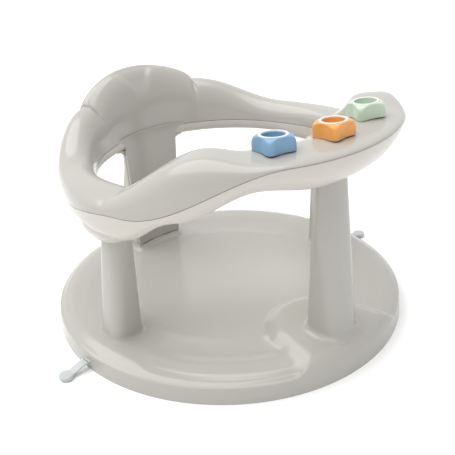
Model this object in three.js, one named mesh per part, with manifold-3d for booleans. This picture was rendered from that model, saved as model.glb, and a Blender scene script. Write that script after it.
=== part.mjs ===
// Baby bath ring: a round base with three hollow legs, and a two-part seat ring that sits on them.
// Millimetres, +Z up. The origin is the middle of the base on the bath floor; the tray faces -Y.
import * as THREE from 'three';
import { mergeVertices } from 'three/addons/utils/BufferGeometryUtils.js';
import Module from 'manifold-3d';

const wasm = await Module();
wasm.setup();

// Fits shared by all pieces
const gap = 0.3; // between pieces that rest on each other
const runGap = 0.4; // round a spindle that turns
const overrun = 2; // how far a cutter passes the face it opens
const weldDistance = 0.0001; // corners nearer than this are one corner

// Base moulding
const baseRadius = 158.3;
const skirtDraft = 1; // the skirt leans in by this much up to the rolled edge
const skirtWall = 2.6;
const baseWall = 2.6;
const floorHeight = 18;
const gutterHeight = 13;
const rimHeight = 19;
const rimRound = 14;
const rimWidth = 24.3; // from the edge in to where the rim starts to fall
const gutterIn = 48.3; // from the edge in to the bottom of the gutter
const floorIn = 62.3; // from the edge in to the flat of the floor
const rimInnerRadius = baseRadius - rimWidth;
const gutterRadius = baseRadius - gutterIn;
const floorRadius = baseRadius - floorIn;

// Pads of the base: the front one is raised, the other three are level with the floor
const padCentreIn = 46.3; // from the edge in to the centre of a pad's rounded end
const padCentre = baseRadius - padCentreIn;
const frontPadHeight = 25;
const frontPadHalfWidth = 54; // at the foot of its slope
const frontPadSlope = 21;
const levelPadHeight = floorHeight;
const levelPadHalfWidth = 57;
const levelPadSlope = 12;
const padFlareShare = 0.25; // widening of a pad towards the rim

// Legs, moulded with the base
const legWall = 2.6;
const legTopPlate = 3;
const legFillet = 5;
const sideLegIn = 36.3; // from the base's edge in to the middle of the foot
const sideLegFootPitch = baseRadius - sideLegIn;
const sideLegTopPitch = 115.8;
const sideLegDrop = 28; // from the notch's top down to the leg's top
const sideLegFootHalf = 16;
const sideLegTopHalf = 10.5;
const frontLegIn = 32.3;
const frontLegFootPitch = baseRadius - frontLegIn;
const frontLegTopPitch = 120;
const frontLegDrop = 21.6; // from the tray's top down to the leg's top
const frontLegFootHalf = 18.4;
const frontLegTopHalf = 11.3;
const leftSideAngle = -90; // leg, cup and tab of the left side
const rightSideAngle = 86; // cup and tab of the right side, a little nearer the front
const rightLegAngle = 83;
const legDepthShare = 0.94; // a leg's depth towards the centre over its width

// Seat ring, shared by the cover and the shell: stations from the tray (0) round to the back (180)
const trayAngle = 24; // where the seam starts to fall
const trayEndAngle = 32; // where the cover starts to rise to its lobes
const lobeAngle = 46;
const hollowAngle = 72; // where the seam has come down from the tray
const notchAngle = 79;
const sideAngle = 112;
const shoulderAngle = 152;
const backAngle = 180;
const seamRadiusFront = 151.5;
const seamRadiusNotch = 148.5;
const seamRadiusSide = 140;
const seamRadiusBack = 143;
const seamHeightBack = 132;
const trayHeight = 189.6;
const lobeRise = 3.9; // of the lobes above the tray
const lobeHeight = trayHeight + lobeRise;
const traySeamDrop = 3;
const seamHeightFront = trayHeight - traySeamDrop;
const notchHeight = 156;
const notchSeamDrop = 9.5;
const seamHeightNotch = notchHeight - notchSeamDrop;
const armHeight = 153.5;
const shoulderHeight = 176;
const backrestHeight = 197;
const crestRadiusTray = 140;
const crestRadiusLobe = 134;
const crestRadiusNotch = 124;
const crestRadiusArm = 127;
const crestRadiusShoulder = 131.5;
const crestRadiusBack = 134;
const lipRadiusTray = 103;
const lipRadiusLobe = 106;
const lipRadiusNotch = 109;
const lipRadiusArm = 110.5;
const lipRadiusBack = 110.5;
const lipDropTray = 17.6; // from the tray's top down to the lip
const lipDropLobe = 19.6;
const lipHeightTray = trayHeight - lipDropTray;
const lipHeightLobe = trayHeight - lipDropLobe;
const lipDropNotch = 16;
const lipHeightNotch = notchHeight - lipDropNotch;
const lipHeightBack = 135.5;
const keelDropFront = 31.6; // from the tray's top down to the hull's lowest line
const keelDropLobe = 25.6;
const keelHeightFront = trayHeight - keelDropFront;
const keelHeightLobe = trayHeight - keelDropLobe;
const keelDropNotch = 29.5;
const keelHeightNotch = notchHeight - keelDropNotch;
const keelFallShare = 0.52; // how much of the hull's height is left where it is on its way down
const keelHeightFall = keelHeightNotch + keelFallShare * (keelHeightLobe - keelHeightNotch);
const keelHeightBack = 127;
const keelFlatAngle = 11.5; // half of the low middle of the hull under the tray
const keelRiseAngle = 31.7; // where the hull has risen beside it
const keelFallAngle = 58; // where it is on its way down
const keelShare = 0.5; // where the shell's lowest line lies between the lip and the seam
const armBulge = 3; // how far the outside of an arm swells past its seam
const ringWall = 2.2;
const valleyDepth = 1.6; // soft channel down the middle of the backrest
const valleyHalfAngle = 13;

// Sockets of the shell that sit over the leg tops
const socketWall = 2.4;
const sideMouthDrop = 48; // from the notch's top down to a side socket's mouth
const sideSocketMouth = notchHeight - sideMouthDrop;
const frontMouthDrop = 31.1; // from the tray's top down to the front socket's mouth
const frontSocketMouth = trayHeight - frontMouthDrop;
const sideSocketFlare = 9; // widening along the ring
const sideSocketSwell = 4; // widening outwards
const frontSocketFlare = 2;
const socketPlate = 3;
const socketPostHeight = 9; // above the leg's top
const socketPostTop = 1.5; // left closed over the screw

// Rear leg: a skin that runs down from the backrest and a channel behind it
const rearLegIn = 49.7; // from the base's edge in to the foot's front face
const rearFootRadius = baseRadius - rearLegIn;
const rearSkinWall = 2.6;
const rearDepth = 15;
const rearFootHalf = 24.8;
const rearTopHalf = 30.4;
const rearCornerRound = 9;
const rearFloor = 9; // solid foot that the two screws go into
const plinthHeight = 5; // of the base's low plinth under the rear leg
const plinthFoot = 5; // how far its foot reaches out past the leg
const plinthMiddle = 2.2;
const plinthMiddleHeight = 1.6;
const plinthEdge = 0.8;

// Suction cups and their release tabs
const cupIn = 62.3; // from the base's edge in to a cup's middle
const cupPitch = baseRadius - cupIn;
const cupRadius = 24.3;
const cupLip = 2.3;
const cupStemRadius = 4.1;
const cupShoulder = 9.2;
const cupStemTop = 14.4;
const cupRimHeight = 1.1; // thickness of the bell at its edge
const cupEdgeRise = 2.9; // top of the bell over the inside of its flat edge
const cupEdgeLift = 1.3; // inside of the bell just in from its flat edge
const cupEdgeIn = 1.8;
const cupDomeRadius = 10.2; // inside, where the bell opens out
const cupDomeTop = 4.9; // inside of the bell at that radius
const cupDomeMiddle = 5.6; // and on the axis
const cupDomeOuterRadius = 11.2;
const cupDomeOuterTop = 8.1;
const cupNeckRadius = 6.5;
const cupBossRadius = 8;
const cupBossLow = 9.6;
const tabWidth = 8;
const tabThickness = 2.2;
const tabHeight = 7; // middle of the strip where it leaves the skirt
const tabRise = 10; // length over which the strip climbs from the cup's edge
const tabHingeOut = 2.8; // from the skirt's foot out to the bend line
const tabKnuckle = 1.4;
const tabOut = 20.7; // from the base's edge out to the centre of the finger pad
const tabReach = baseRadius + tabOut;
const tabPadRadius = 6;
const tabPadThickness = 3.4;
const tabPadHeight = 2.6;
const tabSlotMargin = 0.6;

// Toys on the tray
const toyPitch = 122.5;
const toySpacing = 24.5; // degrees
const toyTurns = { blue: -10, orange: 0, green: -22 }; // degrees, each toy as it was left
const toyTilt = 5; // degrees, towards the middle of the ring
const toyCorner = 16.2; // reach of a lobe at the foot
const toyCornerLow = 15.9;
const toyCornerHigh = 14.8;
const toyCornerTop = 13;
const toyWaist = 10.4; // radius between two lobes at the foot
const toyWaistLow = 11.4;
const toyWaistHigh = 11.5;
const toyWaistTop = 11.9;
const toyLowHeight = 5.8;
const toyHighHeight = 9;
const toyBody = 10.6; // height of the toy
const toyLobes = 4;
const toyRecessRadius = 8.4;
const toyRecessDepth = 5;
const toyRingOuter = 12;
const toyRingThickness = 2;
const toyRingRound = 0.6;
const toySeatRadius = 11;
const toySeatRise = 0.5; // how far the flat seat stands above the tray
const toySeatDepth = 6;
const spindleRadius = 2.8;
const spindleHead = 5;
const spindleHeadThickness = 1.8;
const spindleHeadEdge = 1.1;
const spindleHeadFlat = 4;
const spindleTipOut = 0.9; // past the clip
const clipRadius = 6.5;
const clipThickness = 2;

// Screws
const screwRadius = 1.7;
const screwHeadRadius = 3.6;
const screwHeadHeight = 2.6;
const screwHeadEdge = 1.3; // height of the head's upright edge
const screwHeadFlat = 2.5; // radius of the flat under the head
const screwReach = 9.4; // from the face that the head bears on to the tip
const screwHoleDepth = 13;
const screwPostRadius = 4.2;
const screwWellDepth = 4; // the heads of the cover's screws lie this deep in the shell
const coverScrewAngles = [40, 112, 148]; // degrees, on both sides

// Facets
const ringSteps = 44;
const roundSteps = 16;
const baseSteps = 36;
const lobeSteps = 16;
const spindleSteps = 10;
const screwSteps = 6;

// Colours and finishes
const greyPlastic = { color: 0xc9c8c2, roughness: 0.32, metalness: 0 };
const ivoryPlastic = { color: 0xe6e3dc, roughness: 0.35, metalness: 0 };
const whitePlastic = { color: 0xf4f4f2, roughness: 0.25, metalness: 0 };
const siliconeFinish = { color: 0xe4eaea, roughness: 0.4, metalness: 0 };
const steelFinish = { color: 0xb8bcc0, roughness: 0.35, metalness: 0.9 };
const toyColours = { blue: 0x6ea0cf, orange: 0xf19b3c, green: 0xa9c9b3 };

const part = new THREE.Group();

// Angles run from the front (-Y) towards +X
function place(radius, degrees, z) {
  const a = THREE.MathUtils.degToRad(degrees);
  return new THREE.Vector3(radius * Math.sin(a), -radius * Math.cos(a), z);
}

// Turns a three.js geometry into a solid that can be joined and cut
function solid(geometry) {
  const bare = geometry.index ? geometry.toNonIndexed() : geometry.clone();
  bare.deleteAttribute('normal');
  bare.deleteAttribute('uv');
  const merged = mergeVertices(bare, weldDistance);
  return new wasm.Manifold(new wasm.Mesh({
    numProp: 3,
    vertProperties: new Float32Array(merged.attributes.position.array),
    triVerts: new Uint32Array(merged.index.array),
  }));
}

function addPiece(name, body, finish) {
  const mesh = body.getMesh();
  const geometry = new THREE.BufferGeometry();
  geometry.setAttribute('position', new THREE.BufferAttribute(mesh.vertProperties, 3));
  geometry.setIndex(new THREE.BufferAttribute(mesh.triVerts, 1));
  geometry.computeVertexNormals();
  const piece = new THREE.Mesh(geometry, new THREE.MeshStandardMaterial(finish));
  piece.name = name;
  part.add(piece);
}

function moved(geometry, matrix) {
  return geometry.clone().applyMatrix4(matrix);
}

// A closed surface from loops of points: neighbouring loops are joined, and the ends are
// either joined to each other (a ring) or closed by a fan round the loop's middle (a bar)
function skin(loops, closedRound) {
  const points = [];
  const faces = [];
  const count = loops[0].length;
  loops.forEach((loop) => loop.forEach((p) => points.push(p.x, p.y, p.z)));
  const spans = closedRound ? loops.length : loops.length - 1;
  for (let i = 0; i < spans; i += 1) {
    const a = i * count;
    const b = ((i + 1) % loops.length) * count;
    for (let j = 0; j < count; j += 1) {
      const k = (j + 1) % count;
      faces.push(a + j, a + k, b + k, a + j, b + k, b + j);
    }
  }
  if (!closedRound) {
    [[0, true], [loops.length - 1, false]].forEach(([row, first]) => {
      const middle = new THREE.Vector3();
      loops[row].forEach((p) => middle.add(p));
      middle.divideScalar(count);
      const m = points.length / 3;
      points.push(middle.x, middle.y, middle.z);
      for (let j = 0; j < count; j += 1) {
        const a = row * count + j;
        const b = row * count + (j + 1) % count;
        faces.push(...(first ? [m, b, a] : [m, a, b]));
      }
    });
  }
  const geometry = new THREE.BufferGeometry();
  geometry.setAttribute('position', new THREE.Float32BufferAttribute(points, 3));
  geometry.setIndex(faces);
  return geometry;
}

// A solid of revolution about Z from [radius, height] points that run up the outside from the axis
function turned(profile, steps = roundSteps) {
  const shape = new THREE.LatheGeometry(profile.map(([r, z]) => new THREE.Vector2(r, z)), steps);
  return shape.rotateX(Math.PI / 2);
}

// A closed ring or tube: the profile's last point joins its first
function turnedRing(profile, steps = roundSteps) {
  return turned([...profile, profile[0]], steps);
}

function disc(radius, low, high, steps = roundSteps) {
  return turned([[0, low], [radius, low], [radius, high], [0, high]], steps);
}

// Eased steps between named sizes
const smooth = (t) => (1 - Math.cos(Math.PI * t)) / 2;
const fallShare = 1.5;
const riseShare = 0.6;
const fall = (t) => (t ** fallShare + smooth(t)) / 2;
const crown = (t) => Math.sin(Math.PI * t / 2) ** riseShare;

// Reads a size at an angle from stations of [angle, size, easing of the span that ends there]
function alongRing(angle, stations) {
  const a = Math.abs(angle);
  for (let i = 1; i < stations.length; i += 1) {
    const [low, from] = stations[i - 1];
    const [high, to, ease = smooth] = stations[i];
    if (a <= high) return from + (to - from) * ease(Math.max(0, (a - low) / (high - low)));
  }
  return stations[stations.length - 1][1];
}

const crestHeights = [[0, trayHeight], [trayEndAngle, trayHeight], [lobeAngle, lobeHeight],
  [notchAngle, notchHeight, fall], [sideAngle, armHeight], [shoulderAngle, shoulderHeight],
  [backAngle, backrestHeight, crown]];
const crestRadii = [[0, crestRadiusTray], [trayEndAngle, crestRadiusTray], [lobeAngle, crestRadiusLobe],
  [notchAngle, crestRadiusNotch], [sideAngle, crestRadiusArm], [shoulderAngle, crestRadiusShoulder],
  [backAngle, crestRadiusBack]];
const seamRadii = [[0, seamRadiusFront], [lobeAngle, seamRadiusFront], [notchAngle, seamRadiusNotch],
  [sideAngle, seamRadiusSide], [shoulderAngle, seamRadiusSide], [backAngle, seamRadiusBack]];
const seamHeights = [[0, seamHeightFront], [trayAngle, seamHeightFront], [hollowAngle, seamHeightNotch],
  [sideAngle, seamHeightBack], [backAngle, seamHeightBack]];
const lipRadii = [[0, lipRadiusTray], [trayAngle, lipRadiusTray], [lobeAngle, lipRadiusLobe],
  [notchAngle, lipRadiusNotch], [sideAngle, lipRadiusArm], [backAngle, lipRadiusBack]];
const lipHeights = [[0, lipHeightTray], [trayAngle, lipHeightTray], [lobeAngle, lipHeightLobe],
  [notchAngle, lipHeightNotch], [sideAngle, lipHeightBack], [backAngle, lipHeightBack]];
const keelHeights = [[0, keelHeightFront], [keelFlatAngle, keelHeightFront],
  [keelRiseAngle, keelHeightLobe], [keelFallAngle, keelHeightFall], [notchAngle, keelHeightNotch],
  [sideAngle, keelHeightBack], [backAngle, keelHeightBack]];

// The backrest's soft channel: how far the inner face stands back at an angle and height
function valley(angle, share) {
  const off = (backAngle - Math.abs(angle)) / valleyHalfAngle;
  return off < 1 ? valleyDepth * smooth(1 - off) * Math.sin(Math.PI * share) : 0;
}

// A quarter of a rounded rectangle between two [radius, height] points: it leaves the first
// upwards (or downwards) and reaches the second level
function quarter(from, to, squareness, steps) {
  const points = [];
  for (let i = 0; i <= steps; i += 1) {
    const a = (Math.PI / 2) * (i / steps);
    const across = Math.cos(a) ** (2 / squareness);
    const up = Math.sin(a) ** (2 / squareness);
    points.push([to[0] + (from[0] - to[0]) * across, from[1] + (to[1] - from[1]) * up]);
  }
  return points;
}

const innerSteps = 4;
const outerSteps = 5;
const hullSteps = 4;
const hullInnerSteps = 3;
const traySquareness = 3.4;
const armSquareness = 2.3;
const hullSquareness = 1.8;
const flankSquareness = 2.7;

// The cover's line at an angle, from its inner lip over the crest to the seam. The inset draws
// the line in from the outside, so that two insets make the faces of a wall
function coverLine(angle, inset = 0) {
  const lip = [alongRing(angle, lipRadii) + inset, alongRing(angle, lipHeights)];
  const crest = [alongRing(angle, crestRadii), alongRing(angle, crestHeights) - inset];
  const seam = [alongRing(angle, seamRadii) - inset, alongRing(angle, seamHeights)];
  const square = alongRing(angle, [[0, traySquareness], [trayEndAngle, traySquareness],
    [notchAngle, armSquareness], [backAngle, armSquareness]]);
  const inner = quarter(lip, crest, square, innerSteps);
  const bulge = armBulge * alongRing(angle, [[0, 0], [notchAngle, 0], [sideAngle, 1], [backAngle, 1]]);
  const outer = quarter(seam, crest, armSquareness, outerSteps)
    .map(([r, z], i) => [r + bulge * Math.sin((Math.PI * i) / outerSteps), z]).reverse().slice(1);
  const line = [...inner, ...outer];
  return line.map(([r, z], i) => [r + valley(angle, Math.min(1, i / innerSteps)), z]);
}

// The shell's line at an angle, from the seam under the keel to the inner lip
function shellLine(angle, inset = 0) {
  const lip = [alongRing(angle, lipRadii) + inset, alongRing(angle, lipHeights) - gap];
  const seam = [alongRing(angle, seamRadii) - inset, alongRing(angle, seamHeights) - gap];
  const keel = [lip[0] + keelShare * (seam[0] - lip[0]), alongRing(angle, keelHeights) + inset];
  const square = alongRing(angle, [[0, hullSquareness], [lobeAngle, hullSquareness],
    [notchAngle, flankSquareness], [sideAngle, armSquareness], [backAngle, armSquareness]]);
  const outer = quarter(seam, keel, square, hullSteps);
  const inner = quarter(lip, keel, armSquareness, hullInnerSteps).reverse().slice(1);
  return [...outer, ...inner];
}

// A ring swept round the origin: the wall between two insets of a line, grown by a margin
function sweptWall(lineAt, wall, margin = 0) {
  const loops = [];
  for (let i = 0; i < ringSteps; i += 1) {
    const angle = (360 * i) / ringSteps - backAngle;
    const section = [...lineAt(angle, -margin), ...lineAt(angle, wall + margin).reverse()];
    loops.push(section.map(([r, z]) => place(r, angle, z)));
  }
  return skin(loops, true);
}

// Height of the cover's top face at an angle and radius
function coverTop(angle, radius) {
  const line = coverLine(angle);
  for (let i = 1; i < line.length; i += 1) {
    const [r0, z0] = line[i - 1];
    const [r1, z1] = line[i];
    if (radius >= r0 && radius <= r1 && r1 > r0) return z0 + ((z1 - z0) * (radius - r0)) / (r1 - r0);
  }
  return alongRing(angle, crestHeights);
}

// Rounded-square bar between heights: each station is [height, centre radius, half width, half depth]
const legSquareness = 2.8;
function legBar(angle, stations) {
  const turn = THREE.MathUtils.degToRad(angle);
  return skin(stations.map(([z, pitch, half, halfDeep = half * legDepthShare]) => {
    const centre = place(pitch, angle, z);
    const loop = [];
    for (let i = 0; i < roundSteps; i += 1) {
      const a = (2 * Math.PI * i) / roundSteps;
      const c = Math.cos(a);
      const s = Math.sin(a);
      const across = Math.sign(c) * Math.abs(c) ** (2 / legSquareness) * half;
      const deep = Math.sign(s) * Math.abs(s) ** (2 / legSquareness) * halfDeep;
      loop.push(new THREE.Vector3(
        centre.x + across * Math.cos(turn) - deep * Math.sin(turn),
        centre.y + across * Math.sin(turn) + deep * Math.cos(turn),
        z,
      ));
    }
    return loop;
  }), false);
}

const sideLegTop = notchHeight - sideLegDrop;
const sideLeg = {
  foot: levelPadHeight,
  top: sideLegTop,
  footPitch: sideLegFootPitch,
  topPitch: sideLegTopPitch,
  footHalf: sideLegFootHalf,
  topHalf: sideLegTopHalf,
  mouth: sideSocketMouth,
  flare: sideSocketFlare,
  swell: sideSocketSwell,
};
const frontLegTop = trayHeight - frontLegDrop;
const frontLeg = {
  foot: frontPadHeight,
  top: frontLegTop,
  footPitch: frontLegFootPitch,
  topPitch: frontLegTopPitch,
  footHalf: frontLegFootHalf,
  topHalf: frontLegTopHalf,
  mouth: frontSocketMouth,
  flare: frontSocketFlare,
  swell: 0,
};
const legs = [
  { ...frontLeg, angle: 0, side: 'front' },
  { ...sideLeg, angle: leftSideAngle, side: 'left' },
  { ...sideLeg, angle: rightLegAngle, side: 'right' },
];

// A leg's centre radius and half width at a height
function legAt(leg, z) {
  const t = (z - leg.foot) / (leg.top - leg.foot);
  return [leg.footPitch + (leg.topPitch - leg.footPitch) * t,
    leg.footHalf + (leg.topHalf - leg.footHalf) * t];
}

function legOuter(leg) {
  const stations = [];
  const [pitch, half] = legAt(leg, leg.foot);
  stations.push([leg.foot - baseWall, pitch, half + legFillet]);
  [0, 45, 90].forEach((step) => {
    const a = THREE.MathUtils.degToRad(step);
    const z = leg.foot + legFillet * (1 - Math.cos(a));
    const [r, h] = legAt(leg, z);
    stations.push([z, r, h + legFillet * (1 - Math.sin(a))]);
  });
  stations.push([leg.top, ...legAt(leg, leg.top)]);
  return solid(legBar(leg.angle, stations));
}

function legCavity(leg) {
  const low = -overrun;
  const high = leg.top - legTopPlate;
  return solid(legBar(leg.angle, [low, high].map((z) => {
    const [r, h] = legAt(leg, z);
    return [z, r, h - legWall];
  })));
}

// A round hole or post, upright, at a place on the part
function upright(radius, low, high, pitch, angle, steps = screwSteps) {
  const at = place(pitch, angle, 0);
  return solid(moved(disc(radius, low, high, steps), new THREE.Matrix4().makeTranslation(at.x, at.y, 0)));
}

// Turns a geometry made at the front round to another angle
function turnedTo(geometry, angle) {
  return moved(geometry, new THREE.Matrix4().makeRotationZ(THREE.MathUtils.degToRad(angle)));
}

// The skirt and rolled edge up to a top face; a wall sets it in for the hollow underneath
function rimLine(top, wall) {
  const edge = baseRadius - skirtDraft - rimRound;
  const round = rimRound - wall;
  const points = [[baseRadius - wall, wall > 0 ? -overrun : 0]];
  const steps = wall > 0 ? [0, 90] : [0, 30, 60, 90];
  steps.forEach((step) => {
    const a = THREE.MathUtils.degToRad(step);
    points.push([edge + round * Math.cos(a), top - rimRound + round * Math.sin(a)]);
  });
  return points;
}

// The gutter and floor, from the rim in to the middle
function basinLine(wall) {
  const stations = [[rimInnerRadius, rimHeight], [gutterRadius, gutterHeight], [floorRadius, floorHeight]];
  const points = [];
  for (let i = 1; i < stations.length; i += 1) {
    (wall > 0 ? [0, 1 / 2] : [0, 1 / 3, 2 / 3]).forEach((t) => {
      const [r0, z0] = stations[i - 1];
      const [r1, z1] = stations[i];
      points.push([r0 + (r1 - r0) * t, z0 + (z1 - z0) * smooth(t) - wall]);
    });
  }
  return [...points, [floorRadius, floorHeight - wall], [0, floorHeight - wall]];
}

function dish(wall) {
  const low = wall > 0 ? -overrun : 0;
  return solid(turned([[0, low], ...rimLine(rimHeight, wall), ...basinLine(wall)], baseSteps));
}

// A pad: round towards the middle, flaring to the rim, with sloping sides
function pad({ angle, top, half, slope }, wall) {
  const reach = baseRadius + overrun;
  const arcSteps = 12;
  const shares = wall > 0 ? [0, 0.5, 1] : [0, 0.25, 0.5, 0.75, 1];
  const low = wall > 0 ? -overrun : gutterHeight - baseWall;
  const stations = [[low, half], ...shares.map((t) => [
    gutterHeight + (top - gutterHeight) * smooth(t) - wall, half - slope * t])];
  const loops = stations.map(([z, h]) => {
    const loop = [];
    for (let i = 0; i <= arcSteps; i += 1) {
      const a = (Math.PI * i) / arcSteps;
      loop.push(new THREE.Vector3(h * Math.cos(a), h * Math.sin(a) - padCentre, z));
    }
    const flare = h + (reach - padCentre) * padFlareShare;
    loop.push(new THREE.Vector3(-flare, -reach, z), new THREE.Vector3(flare, -reach, z));
    return loop;
  });
  const bottom = wall > 0 ? -overrun : 0;
  const envelope = turned([[0, bottom], ...rimLine(top, wall), [0, top - wall]], baseSteps);
  return solid(turnedTo(skin(loops, false), angle)).intersect(solid(envelope));
}

const pads = [
  { angle: 0, top: frontPadHeight, half: frontPadHalfWidth, slope: frontPadSlope },
  { angle: leftSideAngle, top: levelPadHeight, half: levelPadHalfWidth, slope: levelPadSlope },
  { angle: rightSideAngle, top: levelPadHeight, half: levelPadHalfWidth, slope: levelPadSlope },
  { angle: 180, top: levelPadHeight, half: levelPadHalfWidth, slope: levelPadSlope },
];

function baseShape() {
  let outside = dish(0);
  let inside = dish(baseWall);
  pads.forEach((each) => {
    outside = outside.add(pad(each, 0));
    inside = inside.add(pad(each, baseWall));
  });
  return outside.subtract(inside);
}

const cupAngles = { front: 0, left: leftSideAngle, right: rightSideAngle, rear: 180 };

// The slot in the skirt that a release tab comes out of
function tabSlot(angle) {
  const depth = 2 * (skirtWall + skirtDraft + 2 * overrun);
  const cutter = new THREE.BoxGeometry(tabWidth + 2 * tabSlotMargin, depth, tabThickness + 2 * tabSlotMargin);
  cutter.translate(0, -baseRadius, tabHeight);
  return solid(turnedTo(cutter, angle));
}

const rearScrewHalf = 14;
const rearScrewPitch = rearFootRadius + rearSkinWall + gap + rearDepth / 2;

function rearScrewPlaces() {
  return [-1, 1].map((side) => {
    const x = side * rearScrewHalf;
    return [Math.hypot(rearScrewPitch, x), 180 - THREE.MathUtils.radToDeg(Math.atan2(x, rearScrewPitch))];
  });
}

// The low plinth under the rear leg: a strip of a ring, grown by a margin at each height
function plinth() {
  const steps = 6;
  const stations = [[levelPadHeight - baseWall / 2, plinthFoot], [levelPadHeight, plinthFoot],
    [levelPadHeight + plinthMiddleHeight, plinthMiddle], [levelPadHeight + plinthHeight, plinthEdge]];
  return solid(skin(stations.map(([z, margin]) => {
    const half = rearFootHalf + margin;
    const near = rearFootRadius - margin;
    const far = rearFootRadius + rearSkinWall + gap + rearDepth + margin;
    const loop = [];
    for (let i = 0; i <= steps; i += 1) {
      const x = half * (1 - (2 * i) / steps);
      loop.push(new THREE.Vector3(x, Math.sqrt(near * near - x * x), z));
    }
    for (let i = 0; i <= steps; i += 1) {
      const x = half * ((2 * i) / steps - 1);
      loop.push(new THREE.Vector3(x, Math.sqrt(far * far - x * x), z));
    }
    return loop.reverse();
  }), false));
}

function base() {
  let body = baseShape().add(plinth());
  legs.forEach((leg) => {
    body = body.add(legOuter(leg));
  });
  pads.forEach(({ angle, top }) => {
    const high = top - baseWall / 2;
    body = body.add(upright(cupBossRadius, cupBossLow, high, cupPitch, angle, roundSteps));
  });
  legs.forEach((leg) => {
    body = body.subtract(legCavity(leg));
    body = body.subtract(upright(screwRadius + gap, leg.top - 2 * legTopPlate, leg.top + overrun,
      leg.topPitch, leg.angle));
  });
  Object.values(cupAngles).forEach((angle) => {
    body = body.subtract(upright(cupStemRadius + gap, cupBossLow - overrun, cupStemTop + gap, cupPitch, angle,
      roundSteps));
  });
  [cupAngles.left, cupAngles.right].forEach((angle) => {
    body = body.subtract(tabSlot(angle));
  });
  rearScrewPlaces().forEach(([pitch, angle]) => {
    body = body.subtract(upright(screwRadius + gap, gutterHeight / 2, rearLow + overrun, pitch, angle));
  });
  addPiece('base_with_legs', body, greyPlastic);
}

// Rear leg: outline seen from the front, grown by a margin, as a block through its depth. Its
// sides turn out into the ring in a round that ends at a height
function rearOutline(low, high, margin, bendTop) {
  const slope = (rearTopHalf - rearFootHalf) / (lipHeightBack - rearLow);
  const halfAt = (z) => rearFootHalf + slope * (z - rearLow) + margin;
  const bendLow = Math.min(high, bendTop - rearCornerRound);
  const right = [[halfAt(low), low]];
  if (high > bendLow) {
    const bendSteps = 4;
    for (let i = 0; i <= bendSteps; i += 1) {
      const a = (Math.PI / 2) * (i / bendSteps);
      const z = bendLow + rearCornerRound * Math.sin(a);
      right.push([halfAt(z) + rearCornerRound * (1 - Math.cos(a)), z]);
    }
    right.push([halfAt(bendTop) + rearCornerRound, high]);
  } else {
    right.push([halfAt(high), high]);
  }
  const left = right.map(([x, z]) => [-x, z]).reverse();
  const shape = new THREE.Shape([...right, ...left].map(([x, z]) => new THREE.Vector2(x, z)));
  const block = new THREE.ExtrudeGeometry(shape, { depth: baseRadius, bevelEnabled: false });
  return solid(block.rotateX(Math.PI / 2).translate(0, baseRadius, 0));
}

// A leaning round wall whose near face follows the rear leg's front, set back by near and far
function rearWall(low, high, near, far) {
  const lean = (lipRadiusBack - rearFootRadius) / (lipHeightBack - rearLow);
  const at = (z) => rearFootRadius + lean * (z - rearLow);
  return solid(turnedRing([[at(low) + near, low], [at(low) + far, low],
    [at(high) + far, high], [at(high) + near, high]], ringSteps));
}

const rearLow = levelPadHeight + plinthHeight + gap;
const rearSkinHigh = lipHeightBack + ringWall * 2;

function rearSkin(margin = 0) {
  const low = rearLow - margin;
  return rearOutline(low, rearSkinHigh, margin, lipHeightBack)
    .intersect(rearWall(low, rearSkinHigh, -margin, rearSkinWall + margin));
}

function toySeats(angle) {
  const frame = toyFrame(angle);
  return {
    seat: solid(moved(disc(toySeatRadius, -toySeatDepth, 0), frame)),
    hole: solid(moved(disc(spindleRadius + runGap, -2 * toySeatDepth, overrun, spindleSteps), frame)),
  };
}

// The seat face of a toy: its origin on the seat, its Z along the spindle
function toyFrame(angle) {
  const height = coverTop(angle, toyPitch) + toySeatRise;
  const at = place(toyPitch, angle, height);
  const axis = place(-Math.sin(THREE.MathUtils.degToRad(toyTilt)), angle,
    Math.cos(THREE.MathUtils.degToRad(toyTilt)));
  const turn = new THREE.Quaternion().setFromUnitVectors(new THREE.Vector3(0, 0, 1), axis);
  return new THREE.Matrix4().compose(at, turn, new THREE.Vector3(1, 1, 1));
}

const toyAngles = { blue: -toySpacing, orange: 0, green: toySpacing };

function coverScrewPlaces() {
  const places = [];
  coverScrewAngles.forEach((at) => [-at, at].forEach((angle) => {
    const lip = alongRing(angle, lipRadii);
    const keel = lip + keelShare * (alongRing(angle, seamRadii) - lip);
    places.push([keel, angle]);
  }));
  return places;
}

function cover() {
  let body = solid(sweptWall(coverLine, ringWall));
  body = body.add(rearSkin());
  coverScrewPlaces().forEach(([pitch, angle]) => {
    const low = alongRing(angle, keelHeights) + screwWellDepth + ringWall + gap;
    const high = Math.min(coverTop(angle, pitch - screwPostRadius), coverTop(angle, pitch + screwPostRadius))
      - ringWall / 2;
    body = body.add(upright(screwPostRadius, low, high, pitch, angle));
    body = body.subtract(upright(screwRadius + gap, low - overrun, low + screwHoleDepth, pitch, angle));
  });
  Object.values(toyAngles).forEach((angle) => {
    const { seat, hole } = toySeats(angle);
    body = body.add(seat).subtract(hole);
  });
  addPiece('ring_cover', body, greyPlastic);
}

// Socket of the shell that sits over a leg top: it widens as it runs up into the ring
function socketOuter(leg) {
  const top = leg.top + gap + socketPlate;
  const keel = Math.min(top, alongRing(leg.angle, keelHeights) + ringWall);
  const wallAt = (z, wall, share) => {
    const [r, h] = legAt(leg, z);
    const inner = h + gap;
    return [z, r + leg.swell * share, inner + wall + leg.flare * share,
      inner * legDepthShare + wall + leg.swell * share];
  };
  const rim = socketWall / 2;
  return solid(legBar(leg.angle, [wallAt(leg.mouth, rim, 0), wallAt(leg.mouth + rim, socketWall, 0),
    wallAt((leg.mouth + keel) / 2, socketWall, 1 / 2), wallAt(keel, socketWall, 1),
    wallAt(top, socketWall, 0)]));
}

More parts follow.
